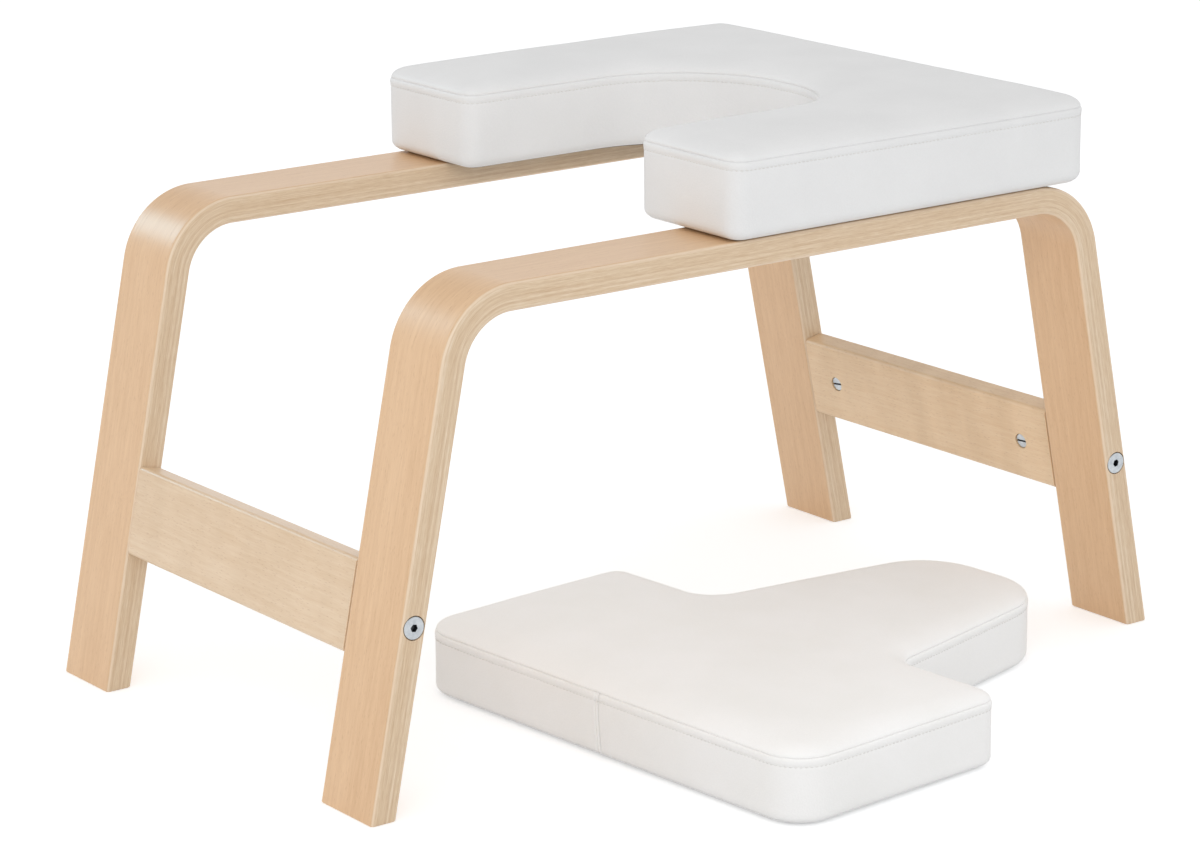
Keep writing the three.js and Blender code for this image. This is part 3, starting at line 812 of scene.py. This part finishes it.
def repaint(node, finish):
    """Gives a CAD node that stays in view another material."""
    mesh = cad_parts[node].data
    mesh.materials.clear()
    mesh.materials.append(finish)


zinc = zinc_material()
raw_beech = raw_beech_material()
bolt_profile = [
    *rounded_rim(bolt_head_radius, 0, bolt_head_round, 5, 1),
    (bolt_head_radius, bolt_head_thickness),
    (bolt_shank_radius, bolt_head_thickness),
    (bolt_shank_radius, bolt_length - bolt_tip_chamfer),
    (bolt_shank_radius - bolt_tip_chamfer, bolt_length),
]
nut_profile = [
    (nut_radius - nut_edge_round, -nut_length),
    (nut_radius, nut_edge_round - nut_length),
    *rounded_rim(nut_radius, 0, nut_edge_round, 4, -1)[::-1],
]
slot_reach = 2 * nut_radius
slot_corners = np.array([(x, y, z) for z in (-1, 1) for x, y in ((-1, -1), (1, -1), (1, 1), (-1, 1))])
slot_block = (
    slot_corners * np.array([slot_reach, nut_slot_depth, nut_slot_width / 2]),
    [[3, 2, 1, 0], [4, 5, 6, 7], [0, 1, 5, 4], [1, 2, 6, 5], [2, 3, 7, 6], [3, 0, 4, 7]],
)
thread_place = Matrix.Translation((0, -nut_face, 0)) @ Matrix.Rotation(quarter_turn, 4, "Z")
thread_hole = placed(drill(bolt_shank_radius, -slot_reach, slot_reach), thread_place)
slot_turns = {"front_right": 0.1, "front_left": -0.15, "rear_right": 0.06, "rear_left": 0.12}
for end_name, end in (("front", -1), ("rear", 1)):
    for hand, side in (("right", -1), ("left", 1)):
        corner = f"{end_name}_{hand}"
        bolt_place = (
            lean_matrix(end) @ Matrix.Translation((0, side * half_stool_width, 0)) @ facing(side > 0)
        )
        head = socket_head(bolt_profile, hardware_sides, bolt_socket_width, bolt_socket_depth, 0)
        bolt = add_object(f"{corner}_bolt", placed(head, bolt_place), [zinc])
        darken_socket(bolt)
        crisp(bolt, hardware_angle)
        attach(bolt, "stool")
        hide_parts(f"{corner}_bolt")
        nut = add_object(f"{corner}_barrel_nut", turned(nut_profile, hardware_sides), [zinc])
        slot_turn = Matrix.Rotation(slot_turns[corner], 4, "Y")
        cut_out(nut, [placed(slot_block, slot_turn), thread_hole])
        # The floor of the slot is marked for painted shade.
        in_slot = np.abs(vertices_of(nut)[:, 1:2] + nut_slot_depth) < 1e-5
        set_attribute(nut, "recess", in_slot * np.ones(3))
        carry(nut, (
            lean_matrix(end) @ Matrix.Translation((-end * nut_face, side * nut_y, 0))
            @ Matrix.Rotation(end * quarter_turn, 4, "Z")
        ))
        crisp(nut, hardware_angle)
        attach(nut, "stool")
        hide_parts(f"{corner}_barrel_nut")
        for level in ("lower", "upper"):
            repaint(f"{corner}_{level}_dowel", raw_beech)

# Seat bolts: button-head bolts with a washer each, from under the rails into tee nuts in the seat
# board. The heads and washers show from below only.
seat_bolt_head_radius = 0.0058
seat_bolt_head_height = 0.0034
seat_bolt_flat_angle = 0.42
seat_bolt_dome_share = 0.9
seat_bolt_socket_width = 0.0032
seat_bolt_socket_depth = 0.002
washer_radius = 0.008
washer_thickness = 0.0015
washer_edge = 0.0002


def washer_shape():
    """A flat ring with slightly broken edges, its axis along Y."""
    bore = bolt_shank_radius + fit_gap
    profile = [
        (bore, washer_edge), (bore + washer_edge, 0), (washer_radius - washer_edge, 0),
        (washer_radius, washer_edge), (washer_radius, washer_thickness - washer_edge),
        (washer_radius - washer_edge, washer_thickness), (bore + washer_edge, washer_thickness),
        (bore, washer_thickness - washer_edge),
    ]
    points, _ = turned(profile, hardware_sides)
    index = np.arange(len(points)).reshape(len(profile), hardware_sides)
    after = np.roll(index, -1, axis=1)
    quads = np.stack([index, np.roll(index, -1, axis=0), np.roll(after, -1, axis=0), after], -1)
    return points, quads.reshape(-1, 4).tolist()


def upright_place(low, high):
    """The matrix that stands a form turned about Y upright in the middle of a box's floor."""
    return Matrix.Translation(((low.x + high.x) / 2, (low.y + high.y) / 2, low.z)) @ y_to_z


for row in ("front", "rear"):
    for hand in ("right", "left"):
        corner = f"seat_{row}_{hand}"
        low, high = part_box(f"{corner}_bolt")
        dome = [
            (
                seat_bolt_head_radius * math.sin(angle),
                seat_bolt_head_height * (1 - math.cos(angle)) * seat_bolt_dome_share,
            )
            for angle in np.linspace(seat_bolt_flat_angle, quarter_turn, 6)
        ]
        profile = [
            *dome,
            (seat_bolt_head_radius, seat_bolt_head_height),
            (bolt_shank_radius, seat_bolt_head_height),
            (bolt_shank_radius, high.z - low.z - bolt_tip_chamfer),
            (bolt_shank_radius - bolt_tip_chamfer, high.z - low.z),
        ]
        head = socket_head(
            profile, hardware_sides, seat_bolt_socket_width, seat_bolt_socket_depth, dome[0][1]
        )
        bolt = add_object(f"{corner}_bolt", placed(head, upright_place(low, high)), [zinc])
        darken_socket(bolt)
        crisp(bolt, hardware_angle)
        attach(bolt, "stool")
        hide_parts(f"{corner}_bolt")
        washer_place = upright_place(*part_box(f"{corner}_washer"))
        ring = add_object(f"{corner}_washer", placed(washer_shape(), washer_place), [zinc])
        crisp(ring, hardware_angle)
        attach(ring, "stool")
        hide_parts(f"{corner}_washer")
        repaint(f"{corner}_tee_nut", zinc)

# The seat pad: firm foam on a plywood board, under a cover of fine-grained white leatherette. The
# cover is a top panel and a side band, sewn together at the upper edge, with a row of stitches
# below the seam. It is pulled round the board's edge and ends in a hem under it.
draw_in = 0.005
draw_in_share = 0.14
draw_in_power = 2.6
hem_edge = 0.022
seam_tuck = 0.001
seam_softness = 0.0004
panel_edge_inset = 0.0003
stitch_drop = 0.005
stitch_groove_depth = 0.00022
stitch_groove_width = 0.0009
stitch_pitch = 0.0031
stitch_length = 0.0024
stitch_radius = 0.00032
stitch_arch = 1.2
stitch_dip = 0.5
thread_sides = 6
welt_height = 0.00035
column_spacing = 0.005
arc_columns = 6
smallest_round = 0.005
top_spacing = 0.006
row_share = 0.866
lattice_clearance = 0.6
join_clearance = 0.0105
join_columns = np.array([-9, -6.5, -4.6, -4, -3.6, -3.2, -2.8, -2.4, -1.8, -1.2, -0.8, -0.5, -0.25, 0,
                         0.25, 0.5, 0.8, 1.2, 1.8, 2.6, 4, 6.5, 9]) / 1000
join_depth = 0.0024
join_width = 0.00045
join_drift = 0.0026
join_drift_power = 1.6
join_drift_reach = 0.009
join_pucker = 0.00012
join_pucker_waves = 38
join_pucker_reach = 0.005
allowance_width = 0.0032
allowance_share = 0.35
unevenness = 0.0004
unevenness_waves = (37, 11)
skin_thickness = 0.0017
cloth_inset = draw_in + 0.0045


def corner_geometry(corners):
    """For each corner of an anticlockwise outline: the unit directions of the edges before and
    after it, and the angle turned, positive where the outline bulges out."""
    places = np.array([corner[:2] for corner in corners])
    forward = np.roll(places, -1, axis=0) - places
    forward /= np.linalg.norm(forward, axis=1)[:, None]
    before = np.roll(forward, 1, axis=0)
    cross = before[:, 0] * forward[:, 1] - before[:, 1] * forward[:, 0]
    return places, before, forward, np.arctan2(cross, (before * forward).sum(1))


def outline(corners, inset, plan):
    """Points of the outline moved in by an inset. Each corner is an arc whose radius shrinks by
    the inset where it bulges out and grows by it where it is hollow, and each straight run is cut
    at its shares."""
    places, before, forward, turn = corner_geometry(corners)
    arcs, parts = [], []
    for k, (_, _, radius) in enumerate(corners):
        side = math.copysign(1, turn[k])
        rounding = max(radius - side * inset, smallest_round)
        in_before = np.array([-before[k][1], before[k][0]])
        in_after = np.array([-forward[k][1], forward[k][0]])
        moved = places[k] + (in_before + in_after) * inset / (1 + in_before @ in_after)
        centre = moved - before[k] * rounding * math.tan(abs(turn[k]) / 2) + in_before * side * rounding
        first_angle = math.atan2(-side * in_before[1], -side * in_before[0])
        angle = np.linspace(0, turn[k], plan[k][0]) + first_angle
        arcs.append(centre + rounding * np.stack([np.cos(angle), np.sin(angle)], 1))
    for k, arc in enumerate(arcs):
        run = arcs[(k + 1) % len(arcs)][0] - arc[-1]
        parts += [arc, arc[-1] + run * plan[k][1][:, None]]
    return np.concatenate(parts)


def plan_columns(corners, joins, spacing=column_spacing):
    """Where the outline is divided: for each corner the number of points on its arc, and the
    shares of the run after it. Round a join, whose share of its run is given, they lie closer."""
    places, before, forward, turn = corner_geometry(corners)
    setback = np.array([radius for _, _, radius in corners]) * np.tan(np.abs(turn) / 2)
    plan = []
    for k, (_, _, radius) in enumerate(corners):
        steps = max(arc_columns, math.ceil(radius * abs(turn[k]) / spacing))
        length = np.linalg.norm(places[(k + 1) % len(corners)] - places[k])
        length -= setback[k] + setback[(k + 1) % len(corners)]
        count = max(2, round(length / spacing))
        at = np.linspace(0, length, count + 1)[1:-1]
        if k in joins:
            middle = joins[k] * length
            at = np.concatenate([at[np.abs(at - middle) > join_clearance], middle + join_columns])
            at.sort()
        plan.append((steps + 1, at / length))
    return plan


def foot_inset(share):
    """How far the band is drawn in towards the board, at shares of its height: draw_in times
    (1 - share / draw_in_share) to a power, and nothing above that share."""
    return draw_in * np.clip(1 - share / draw_in_share, 0, 1) ** draw_in_power


def wall_levels(height):
    """The band's (inset, height) pairs. The foot is drawn in; below the seam a groove holds the
    stitches, and the band swells a little between them and the seam."""
    low = np.array([0, 0.006, 0.015, 0.03, 0.05, 0.08, 0.12, 0.17, 0.23, 0.3, 0.38, 0.47]) * height
    near_seam = height - np.array([9, 7.8, 7, 6.5, 6.1, 5.8, 5.5, 5.2, 4.9, 4.5, 3.9, 3.2, 2.4, 1.6,
                                   1.1, 0.7, 0.4, 0.2, 0]) / 1000
    steps = 1 + round((near_seam[0] - low[-1]) / column_spacing)
    middle = np.linspace(low[-1], near_seam[0], steps + 1)[1:-1]
    z = np.concatenate([low, middle, near_seam])
    below = height - z
    inset = foot_inset(z / height)
    inset += stitch_groove_depth * np.exp(-((below - stitch_drop) / stitch_groove_width) ** 2)
    between = np.clip(below / stitch_drop, 0, 1)
    inset -= welt_height * np.sin(math.pi * between)
    inset += seam_tuck * np.exp(-below / seam_softness)
    return np.stack([inset, z], 1)


def crown_levels(seam, crown_height, crown_inset):
    """The top panel's (inset, height) pairs from the seam to its flat middle: a quarter of an
    ellipse, tucked into the seam at its foot."""
    angle = np.array([1.2, 3, 6, 10, 15, 21, 28, 36, 45, 55, 66, 78, 90]) * math.pi / 180
    rise = crown_height * np.sin(angle)
    inset = panel_edge_inset + (crown_inset + seam_tuck - panel_edge_inset) * (1 - np.cos(angle))
    inset += (seam_tuck - panel_edge_inset) * np.exp(-rise / seam_softness)
    return np.stack([inset, seam + rise], 1)


def inside(points, polygon):
    """Which points lie in a polygon: those whose level line to the right crosses it an odd number
    of times."""
    x0, y0 = polygon.T
    x1, y1 = np.roll(polygon, -1, axis=0).T
    x, y = points[:, :1], points[:, 1:]
    spans = (y0 > y) != (y1 > y)
    crossing = x0 + (y - y0) * (x1 - x0) / np.where(y1 == y0, 1, y1 - y0)
    return (spans & (x < crossing)).sum(1) % 2 == 1


def filled(ring, spacing):
    """Triangles that fill a flat ring, with a lattice of points inside it. Returns the points
    added after the ring's own and the triangles."""
    low, high = ring.min(0), ring.max(0)
    columns = np.arange(low[0], high[0], spacing)
    rows = np.arange(low[1], high[1], spacing * row_share)
    x, y = np.meshgrid(columns, rows)
    x = x + spacing / 2 * (np.arange(len(rows)) % 2)[:, None]
    lattice = np.stack([x.ravel(), y.ravel()], 1)
    lattice = lattice[inside(lattice, ring)]
    clear = np.array([np.linalg.norm(ring - place, axis=1).min() for place in lattice])
    lattice = lattice[clear > spacing * lattice_clearance]
    places = [Vector(place) for place in np.concatenate([ring, lattice]).tolist()]
    _, _, triangles, _, _, _ = delaunay_2d_cdt(places, [], [list(range(len(ring)))], 1, 1e-7)
    return lattice, [list(triangle) for triangle in triangles]


def stacked(corners, plan, levels, bottom=0):
    """Rings of the outline, one for each (inset, height) pair over the bottom."""
    rings = np.stack([outline(corners, inset, plan) for inset, _ in levels])
    heights = np.broadcast_to(bottom + np.array(levels)[:, 1:], rings.shape[:2])
    return np.concatenate([rings, heights[..., None]], -1)


def topped(rings, spacing):
    """The closed form round a stack of rings, with a flat lid on the first and a filled top on
    the last, as a pair of its points and faces."""
    rows, count = rings.shape[:2]
    lattice, triangles = filled(rings[-1, :, :2], spacing)
    extra = np.column_stack([lattice, np.full(len(lattice), rings[-1, 0, 2])])
    top = [[corner + (rows - 1) * count for corner in triangle] for triangle in triangles]
    faces = ring_quads(rows, count) + [list(range(count))[::-1]] + top
    return np.concatenate([rings.reshape(-1, 3), extra]), faces


def pad_cover(corners, bottom, seam, crown_height, crown_inset, joins):
    """The whole cover as one closed form: hem, band, seam and top panel. The band is a little
    uneven all round, and at each join it has a groove, a second one beside it where the seam
    allowance ends, small puckers, and a lean that grows towards the board."""
    plan = plan_columns(corners, joins)
    wall = wall_levels(seam - bottom)
    crown = crown_levels(seam - bottom, crown_height, crown_inset)
    levels = np.concatenate([[[hem_edge, 0]], wall, crown])
    outer = outline(corners, 0, plan)
    inward = (outline(corners, 0.001, plan) - outer) / 0.001
    onward = np.stack([inward[:, 1], -inward[:, 0]], 1)
    step = np.linalg.norm(np.roll(outer, -1, axis=0) - outer, axis=1)
    around = np.concatenate([[0], np.cumsum(step)[:-1]])
    rings = stacked(corners, plan, levels, bottom)
    on_band = ((levels[:, 1] > 0) & (levels[:, 1] < seam - bottom))[:, None]
    band_share = np.clip(levels[:, 1:] / (seam - bottom), 0, 1)
    for run, share in joins.items():
        start = sum(arc + len(shares) for arc, shares in plan[:run]) + plan[run][0] - 1
        end = (start + len(plan[run][1]) + 1) % len(around)
        middle = around[start] + share * (around[end] - around[start])
        offset = around - middle
        near = np.clip(2 - np.abs(offset) / join_drift_reach, 0, 1)
        drift = join_drift * (1 - band_share) ** join_drift_power * near
        groove = join_depth * np.exp(-(offset / join_width) ** 2)
        second = np.exp(-((offset + allowance_width) / join_width) ** 2)
        groove = groove + join_depth * allowance_share * second
        wave = np.cos(band_share * join_pucker_waves)
        pucker = join_pucker * wave * np.exp(-np.abs(offset) / join_pucker_reach)
        rings[..., :2] += on_band[..., None] * (groove + pucker)[..., None] * inward
        rings[..., :2] += (on_band * drift)[..., None] * onward
    short, long = (np.sin(around * waves + phase) for waves, phase in zip(unevenness_waves, (0, 1)))
    slack = unevenness * short * long * np.sin(math.pi * band_share)
    rings[..., :2] += slack[..., None] * inward
    return topped(rings, top_spacing)


swell_spacing = 0.007
swell_frames = 20
swell_limit = 0.003
swell_smoothing = 24
swell_neighbours = 12
seam_hold = 0.6
foot_softness = 0.004
cloth_settings = {
    "quality": 6, "tension_stiffness": 40, "compression_stiffness": 40, "shear_stiffness": 20,
    "bending_stiffness": 2, "use_pressure": True, "uniform_pressure_force": 4,
    "vertex_group_mass": "held",
}


def swelling(name, corners, bottom, seam, crown_height, crown_inset):
    """How the cover swells over its foam. A plain form of the pad is blown up as cloth that is held
    at the board and, less firmly, at the seam. Returns a function that moves points as it moved."""
    plan = plan_columns(corners, {}, swell_spacing)
    height = seam - bottom
    wall_z = np.linspace(0, height, 2 + round(height / swell_spacing))
    wall = np.stack([foot_inset(wall_z / height), wall_z], 1)
    angle = np.linspace(0, quarter_turn, 6)[1:]
    crown = np.stack([crown_inset * (1 - np.cos(angle)), height + crown_height * np.sin(angle)], 1)
    rings = stacked(corners, plan, np.concatenate([[[hem_edge, 0]], wall, crown]), bottom)
    count = rings.shape[1]
    start, faces = topped(rings, swell_spacing)
    form = add_object(f"{name}_swelling", (start, faces), [])
    held = form.vertex_groups.new(name="held")
    held.add(list(range(count * 2)), 1, "REPLACE")
    seam_ring = len(wall_z)
    held.add(list(range(count * seam_ring, count * (seam_ring + 1))), seam_hold, "REPLACE")
    cloth = form.modifiers.new("cover", "CLOTH")
    for key, value in cloth_settings.items():
        setattr(cloth.settings, key, value)
    cloth.settings.effector_weights.gravity = 0
    cloth.point_cache.frame_start = 1
    cloth.point_cache.frame_end = swell_frames
    for moment in range(1, swell_frames + 1):
        bpy.context.scene.frame_set(moment)
    blown = form.evaluated_get(bpy.context.evaluated_depsgraph_get())
    end = np.empty(len(start) * 3)
    blown.data.vertices.foreach_get("co", end)
    move = end.reshape(-1, 3) - start
    edges = np.empty(len(form.data.edges) * 2, dtype=np.int64)
    form.data.edges.foreach_get("vertices", edges)
    first, second = edges.reshape(-1, 2).T
    neighbours = np.bincount(edges, minlength=len(start))[:, None]
    for _ in range(swell_smoothing):
        around = np.zeros_like(move)
        np.add.at(around, first, move[second])
        np.add.at(around, second, move[first])
        move = (move + around / neighbours) / 2
    far = np.linalg.norm(move, axis=1)[:, None]
    move *= swell_limit * np.tanh(far / swell_limit) / np.maximum(far, 1e-9)
    bpy.context.scene.frame_set(1)
    discard(form)
    tree = kdtree.KDTree(len(start))
    for k, place in enumerate(start.tolist()):
        tree.insert(place, k)
    tree.balance()

    def moved(shape):
        """The shape with each point moved by the mean of the nearest cloth points' moves, those
        nearer counting more, and not at all at the foot, where the cover is held."""
        points, faces = shape
        near = [tree.find_n(place, swell_neighbours) for place in points.tolist()]
        index = np.array([[k for _, k, _ in found] for found in near])
        distance = np.array([[gap for _, _, gap in found] for found in near])
        weight = np.exp(-(distance / swell_spacing) ** 2)
        step = (move[index] * weight[..., None]).sum(1) / weight.sum(1)[:, None]
        rise = np.clip(points[:, 2:] - bottom, 0, None)
        return points + step * (1 - np.exp(-rise / foot_softness)), faces

    return moved


def stitch_row(corners, height):
    """A row of stitches round the outline: short arched threads whose ends dip into the cover.
    Every thread is a thin tube, arched by (1 - u^2) less a dip and as thick as the root of
    (1 - u^2), for u from -1 to 1 along it."""
    path = outline(corners, stitch_groove_depth, plan_columns(corners, {}))
    closed = np.concatenate([path, path[:1]])
    run = np.concatenate([[0], np.cumsum(np.linalg.norm(np.diff(closed, axis=0), axis=1))])
    count = int(run[-1] / stitch_pitch)
    middle = (np.arange(count) + 0.5) * run[-1] / count
    u = np.array([-0.98, -0.8, -0.4, 0.0, 0.4, 0.8, 0.98])
    at = (middle[:, None] + u * stitch_length / 2) % run[-1]
    x = np.interp(at, run, closed[:, 0])
    y = np.interp(at, run, closed[:, 1])
    along = np.stack([np.gradient(x, axis=1), np.gradient(y, axis=1)], -1)
    along /= np.linalg.norm(along, axis=-1)[..., None]
    outward = np.stack([along[..., 1], -along[..., 0]], -1)
    thick = stitch_radius * np.sqrt(1 - u ** 2)
    arch = stitch_radius * (stitch_arch * (1 - u ** 2) - stitch_dip)
    angle = np.arange(thread_sides) * 2 * math.pi / thread_sides
    out = arch[None, :, None] + thick[None, :, None] * np.cos(angle)
    out = np.broadcast_to(out, (count, len(u), thread_sides))
    z = height + thick[None, :, None] * np.sin(angle) + 0 * out
    threads = np.stack([
        x[..., None] + outward[..., :1] * out, y[..., None] + outward[..., 1:] * out, z,
    ], -1)
    return joined([lidded(thread) for thread in threads])


def leatherette_material(name, colour, shade):
    """Smooth coated fabric with a fine pebbled grain, slightly uneven in tone and gloss."""
    made, tree, shader = new_material(name, {"Specular IOR Level": 0.38})
    place = object_place(tree)
    cloud = add_node(tree, "TexNoise", {"Vector": place, "Scale": 16, "Detail": 3}).outputs["Fac"]
    tint = ramp(tree, cloud, [(0.35, shade), (0.65, colour)])
    pebble = add_node(tree, "TexVoronoi", {"Vector": place, "Scale": 900}, feature="SMOOTH_F1")
    fine = add_node(tree, "TexNoise", {"Vector": place, "Scale": 2100, "Detail": 2})
    grain = weighted(tree, (pebble.outputs["Distance"], 1), (fine.outputs["Fac"], 0.5))
    dust = ramp(tree, grain, [(0.35, (0.985, 0.985, 0.985, 1)), (0.9, (1, 1, 1, 1))])
    rough = add_node(tree, "MapRange", {"Value": cloud, "To Min": 0.46, "To Max": 0.6})
    feed(tree, shader.inputs["Roughness"], rough.outputs[0])
    finish_surface(tree, shader, mixed(tree, 1.0, tint, dust, "MULTIPLY"), grain, 0.25, 0.0003)
    return made


def thread_material():
    """Twisted polyester thread, a touch darker than the cover."""
    made, tree, shader = new_material("thread", {"Roughness": 0.6})
    twist = add_node(tree, "TexWave", {"Vector": object_place(tree), "Scale": 900, "Distortion": 2})
    tint = ramp(tree, twist.outputs["Fac"], [(0, linear(222, 220, 216)), (1, linear(240, 239, 237))])
    feed(tree, shader.inputs["Base Color"], tint)
    return made


def cloth_material():
    """Black woven dust cloth: two crossed sets of threads."""
    made, tree, shader = new_material("black_cloth", {"Roughness": 0.9, "Specular IOR Level": 0.2})
    threads = {"Vector": object_place(tree), "Scale": 260}
    warp, weft = (
        add_node(tree, "TexWave", threads, bands_direction=axis).outputs["Fac"] for axis in "XY"
    )
    weave = worked(tree, "MULTIPLY", warp, weft)
    tint = ramp(tree, weave, [(0, linear(24, 24, 26)), (1, linear(58, 58, 62))])
    finish_surface(tree, shader, tint, weave, 0.5, 0.0003)
    return made


def foam_material():
    """Cream upholstery foam with small open cells."""
    made, tree, shader = new_material("foam", {"Roughness": 0.95})
    cells = add_node(tree, "TexVoronoi", {"Vector": object_place(tree), "Scale": 700})
    cells = cells.outputs["Distance"]
    tint = ramp(tree, cells, [(0.1, linear(196, 184, 138)), (0.7, linear(238, 228, 188))])
    finish_surface(tree, shader, tint, cells, 0.6, 0.0008)
    return made


def board_material():
    """Raw plywood: a birch face, and darker and paler layers through its thickness."""
    ply_thickness = 0.0034
    made, tree, shader = new_material("board_ply", {"Roughness": 0.8})
    place = object_place(tree)
    face, fibre = beech_colour(
        tree, place, linear(214, 184, 142), linear(186, 152, 108), linear(158, 118, 80), 0.3
    )
    height = add_node(tree, "SeparateXYZ", {0: place}).outputs["Z"]
    layer = worked(tree, "FRACT", worked(tree, "DIVIDE", height, ply_thickness))
    shade = ramp(tree, layer, [(0.45, (1, 1, 1, 1)), (0.55, (0.72, 0.66, 0.58, 1))])
    finish_surface(tree, shader, mixed(tree, 1.0, face, shade, "MULTIPLY"), fibre, 0.3, 0.0005)
    return made


def flat_sheet(corners, inset, low, high):
    """A flat sheet with the pad's outline moved in, its upper and lower edges slightly eased."""
    ease = (high - low) / 4
    levels = [(inset + ease, low), (inset, low + ease), (inset, high - ease), (inset + ease, high)]
    return lidded(stacked(corners, plan_columns(corners, {}), levels))


def foam_block(corners, bottom, seam, crown_height, crown_inset, board_top):
    """The foam inside the cover: the same form, one skin in, standing on the board."""
    wall = wall_levels(seam - bottom)[:-1]
    wall = wall[bottom + wall[:, 1] > board_top]
    angle = np.linspace(0, quarter_turn, 8)
    crown = np.stack([
        seam_tuck + (crown_inset - skin_thickness) * (1 - np.cos(angle)),
        seam - bottom + (crown_height - skin_thickness) * np.sin(angle),
    ], 1)
    wall = np.concatenate([[[wall[0, 0], board_top - bottom]], wall])
    levels = np.concatenate([wall, crown]) + np.array([skin_thickness, 0])
    return lidded(stacked(corners, plan_columns(corners, {}), levels, bottom))


def add_pad(name, body, corners, place, leather, crown_inset, joins, bolt_places):
    """One pad's cover, stitches, foam, board and bottom cloth, in place of its CAD solids.
    Returns the cover and the stitches."""
    band_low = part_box(f"{name}_cover_band")[0].z
    panel_low, panel_high = (corner.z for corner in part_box(f"{name}_cover_top"))
    board_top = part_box(f"{name}_board")[1].z
    cloth_low, cloth_high = (corner.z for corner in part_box(f"{name}_bottom_cloth"))
    form = (corners, band_low, panel_low, panel_high - panel_low, crown_inset)
    swell = swelling(name, *form)
    cover_shape = swell(pad_cover(*form, joins))
    cover = add_object(f"{name}_cover", placed(cover_shape, place), [leather])
    crisp(cover, 1.2)
    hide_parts(f"{name}_cover_top", f"{name}_cover_band")
    stitch_shape = swell(stitch_row(corners, panel_low - stitch_drop))
    stitches = add_object(f"{name}_stitches", placed(stitch_shape, place), [thread])
    foam_shape = swell(foam_block(*form, board_top))
    filling = add_object(f"{name}_foam_block", placed(foam_shape, place), [foam])
    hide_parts(f"{name}_foam")
    sheet = flat_sheet(corners, cloth_inset, cloth_low, cloth_high)
    cloth = add_object(f"{name}_dust_cloth", placed(sheet, place), [black_cloth])
    if bolt_places:
        hole = drill(bolt_shank_radius, -cut_overrun, cut_overrun)
        cut_out(cloth, [
            placed(hole, Matrix.Translation((x, y, cloth_low)) @ y_to_z) for x, y in bolt_places
        ])
    crisp(cloth)
    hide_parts(f"{name}_bottom_cloth")
    slots = ("white_leather", "white_leather", "foam", "black_cloth")
    for piece, slot in zip((cover, stitches, filling, cloth), slots):
        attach(piece, body)
    repaint(f"{name}_board", board_ply)
    return cover, stitches


thread = thread_material()
black_cloth = cloth_material()
foam = foam_material()
board_ply = board_material()
white_leatherette = leatherette_material(
    "white_leatherette", linear(240, 240, 240), linear(236, 236, 236)
)

seat_low, seat_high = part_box("seat_cover_band")
seat_front_x, seat_rear_x = seat_low.x, seat_high.x
seat_half_width = (seat_high.y - seat_low.y) / 2
opening_half_width = 0.090
opening_end_flat = 0.006
opening_depth = 0.192
tip_radius = 0.012
rear_radius = 0.016
seat_crown_inset = 0.017
opening_end_x = seat_front_x + opening_depth
opening_radius = opening_half_width - opening_end_flat
seat_corners = [
    (seat_front_x, seat_half_width, tip_radius),
    (seat_front_x, opening_half_width, tip_radius),
    (opening_end_x, opening_half_width, opening_radius),
    (opening_end_x, -opening_half_width, opening_radius),
    (seat_front_x, -opening_half_width, tip_radius),
    (seat_front_x, -seat_half_width, tip_radius),
    (seat_rear_x, -seat_half_width, rear_radius),
    (seat_rear_x, seat_half_width, rear_radius),
]
seat_place = Matrix.Translation((0, stool_middle, 0))
rail_middle = half_stool_width - strip_width / 2
bolt_places = [(x, stool_middle + side * rail_middle) for x in seat_bolt_rows for side in (-1, 1)]
add_pad(
    "seat", "stool", seat_corners, seat_place, white_leatherette, seat_crown_inset,
    joins={6: 0.5}, bolt_places=bolt_places,
)

# The insert pad: made like the seat pad, T in plan, its tongue cut to fill the seat's opening. It
# lies loose on the floor, turned a little. Its band is joined in the middle of the long edge.
insert_half_width = 0.174
shoulder_length = 0.172
insert_length = 0.349
tongue_root_half_width = 0.086
tongue_tip_half_width = 0.053
insert_front_radius = 0.026
shoulder_radius = 0.014
tongue_root_fillet = 0.020
tongue_tip_radius = 0.050
insert_crown_inset = 0.016
insert_yaw = math.radians(4.6)
insert_front = Matrix.Translation((-0.14, stool_middle - 0.1685, 0))
insert_place = insert_front @ Matrix.Rotation(insert_yaw, 4, "Z")
insert_corners = [
    (0, insert_half_width, insert_front_radius),
    (0, -insert_half_width, insert_front_radius),
    (shoulder_length, -insert_half_width, shoulder_radius),
    (shoulder_length, -tongue_root_half_width, tongue_root_fillet),
    (insert_length, -tongue_tip_half_width, tongue_tip_radius),
    (insert_length, tongue_tip_half_width, tongue_tip_radius),
    (shoulder_length, tongue_root_half_width, tongue_root_fillet),
    (shoulder_length, insert_half_width, shoulder_radius),
]
# The insert's cover is the seat's leatherette set paler, as painted light that makes it show brighter
# than the seat.
painted_light_leatherette = leatherette_material(
    "painted_light_leatherette", linear(249, 248, 247), linear(246, 245, 243)
)
insert_cover = add_pad(
    "insert", "insert", insert_corners, insert_place, painted_light_leatherette, insert_crown_inset,
    joins={0: 0.5}, bolt_places=[],
)

# The photograph shows the insert's top paler than the seat's, so a weak overhead light falls on
# the insert's cover alone.
overhead_strength = 0.42
overhead_spread = math.radians(60)
insert_lit = bpy.data.collections.new("insert_lit")
for piece in insert_cover:
    insert_lit.objects.link(piece)
overhead_data = bpy.data.lights.new("overhead", "SUN")
overhead_data.energy = overhead_strength
overhead_data.angle = overhead_spread
overhead = put_in_scene("overhead", overhead_data)
overhead.location = (0, 0, 2)
overhead.light_linking.receiver_collection = insert_lit
overhead.light_linking.blocker_collection = insert_lit
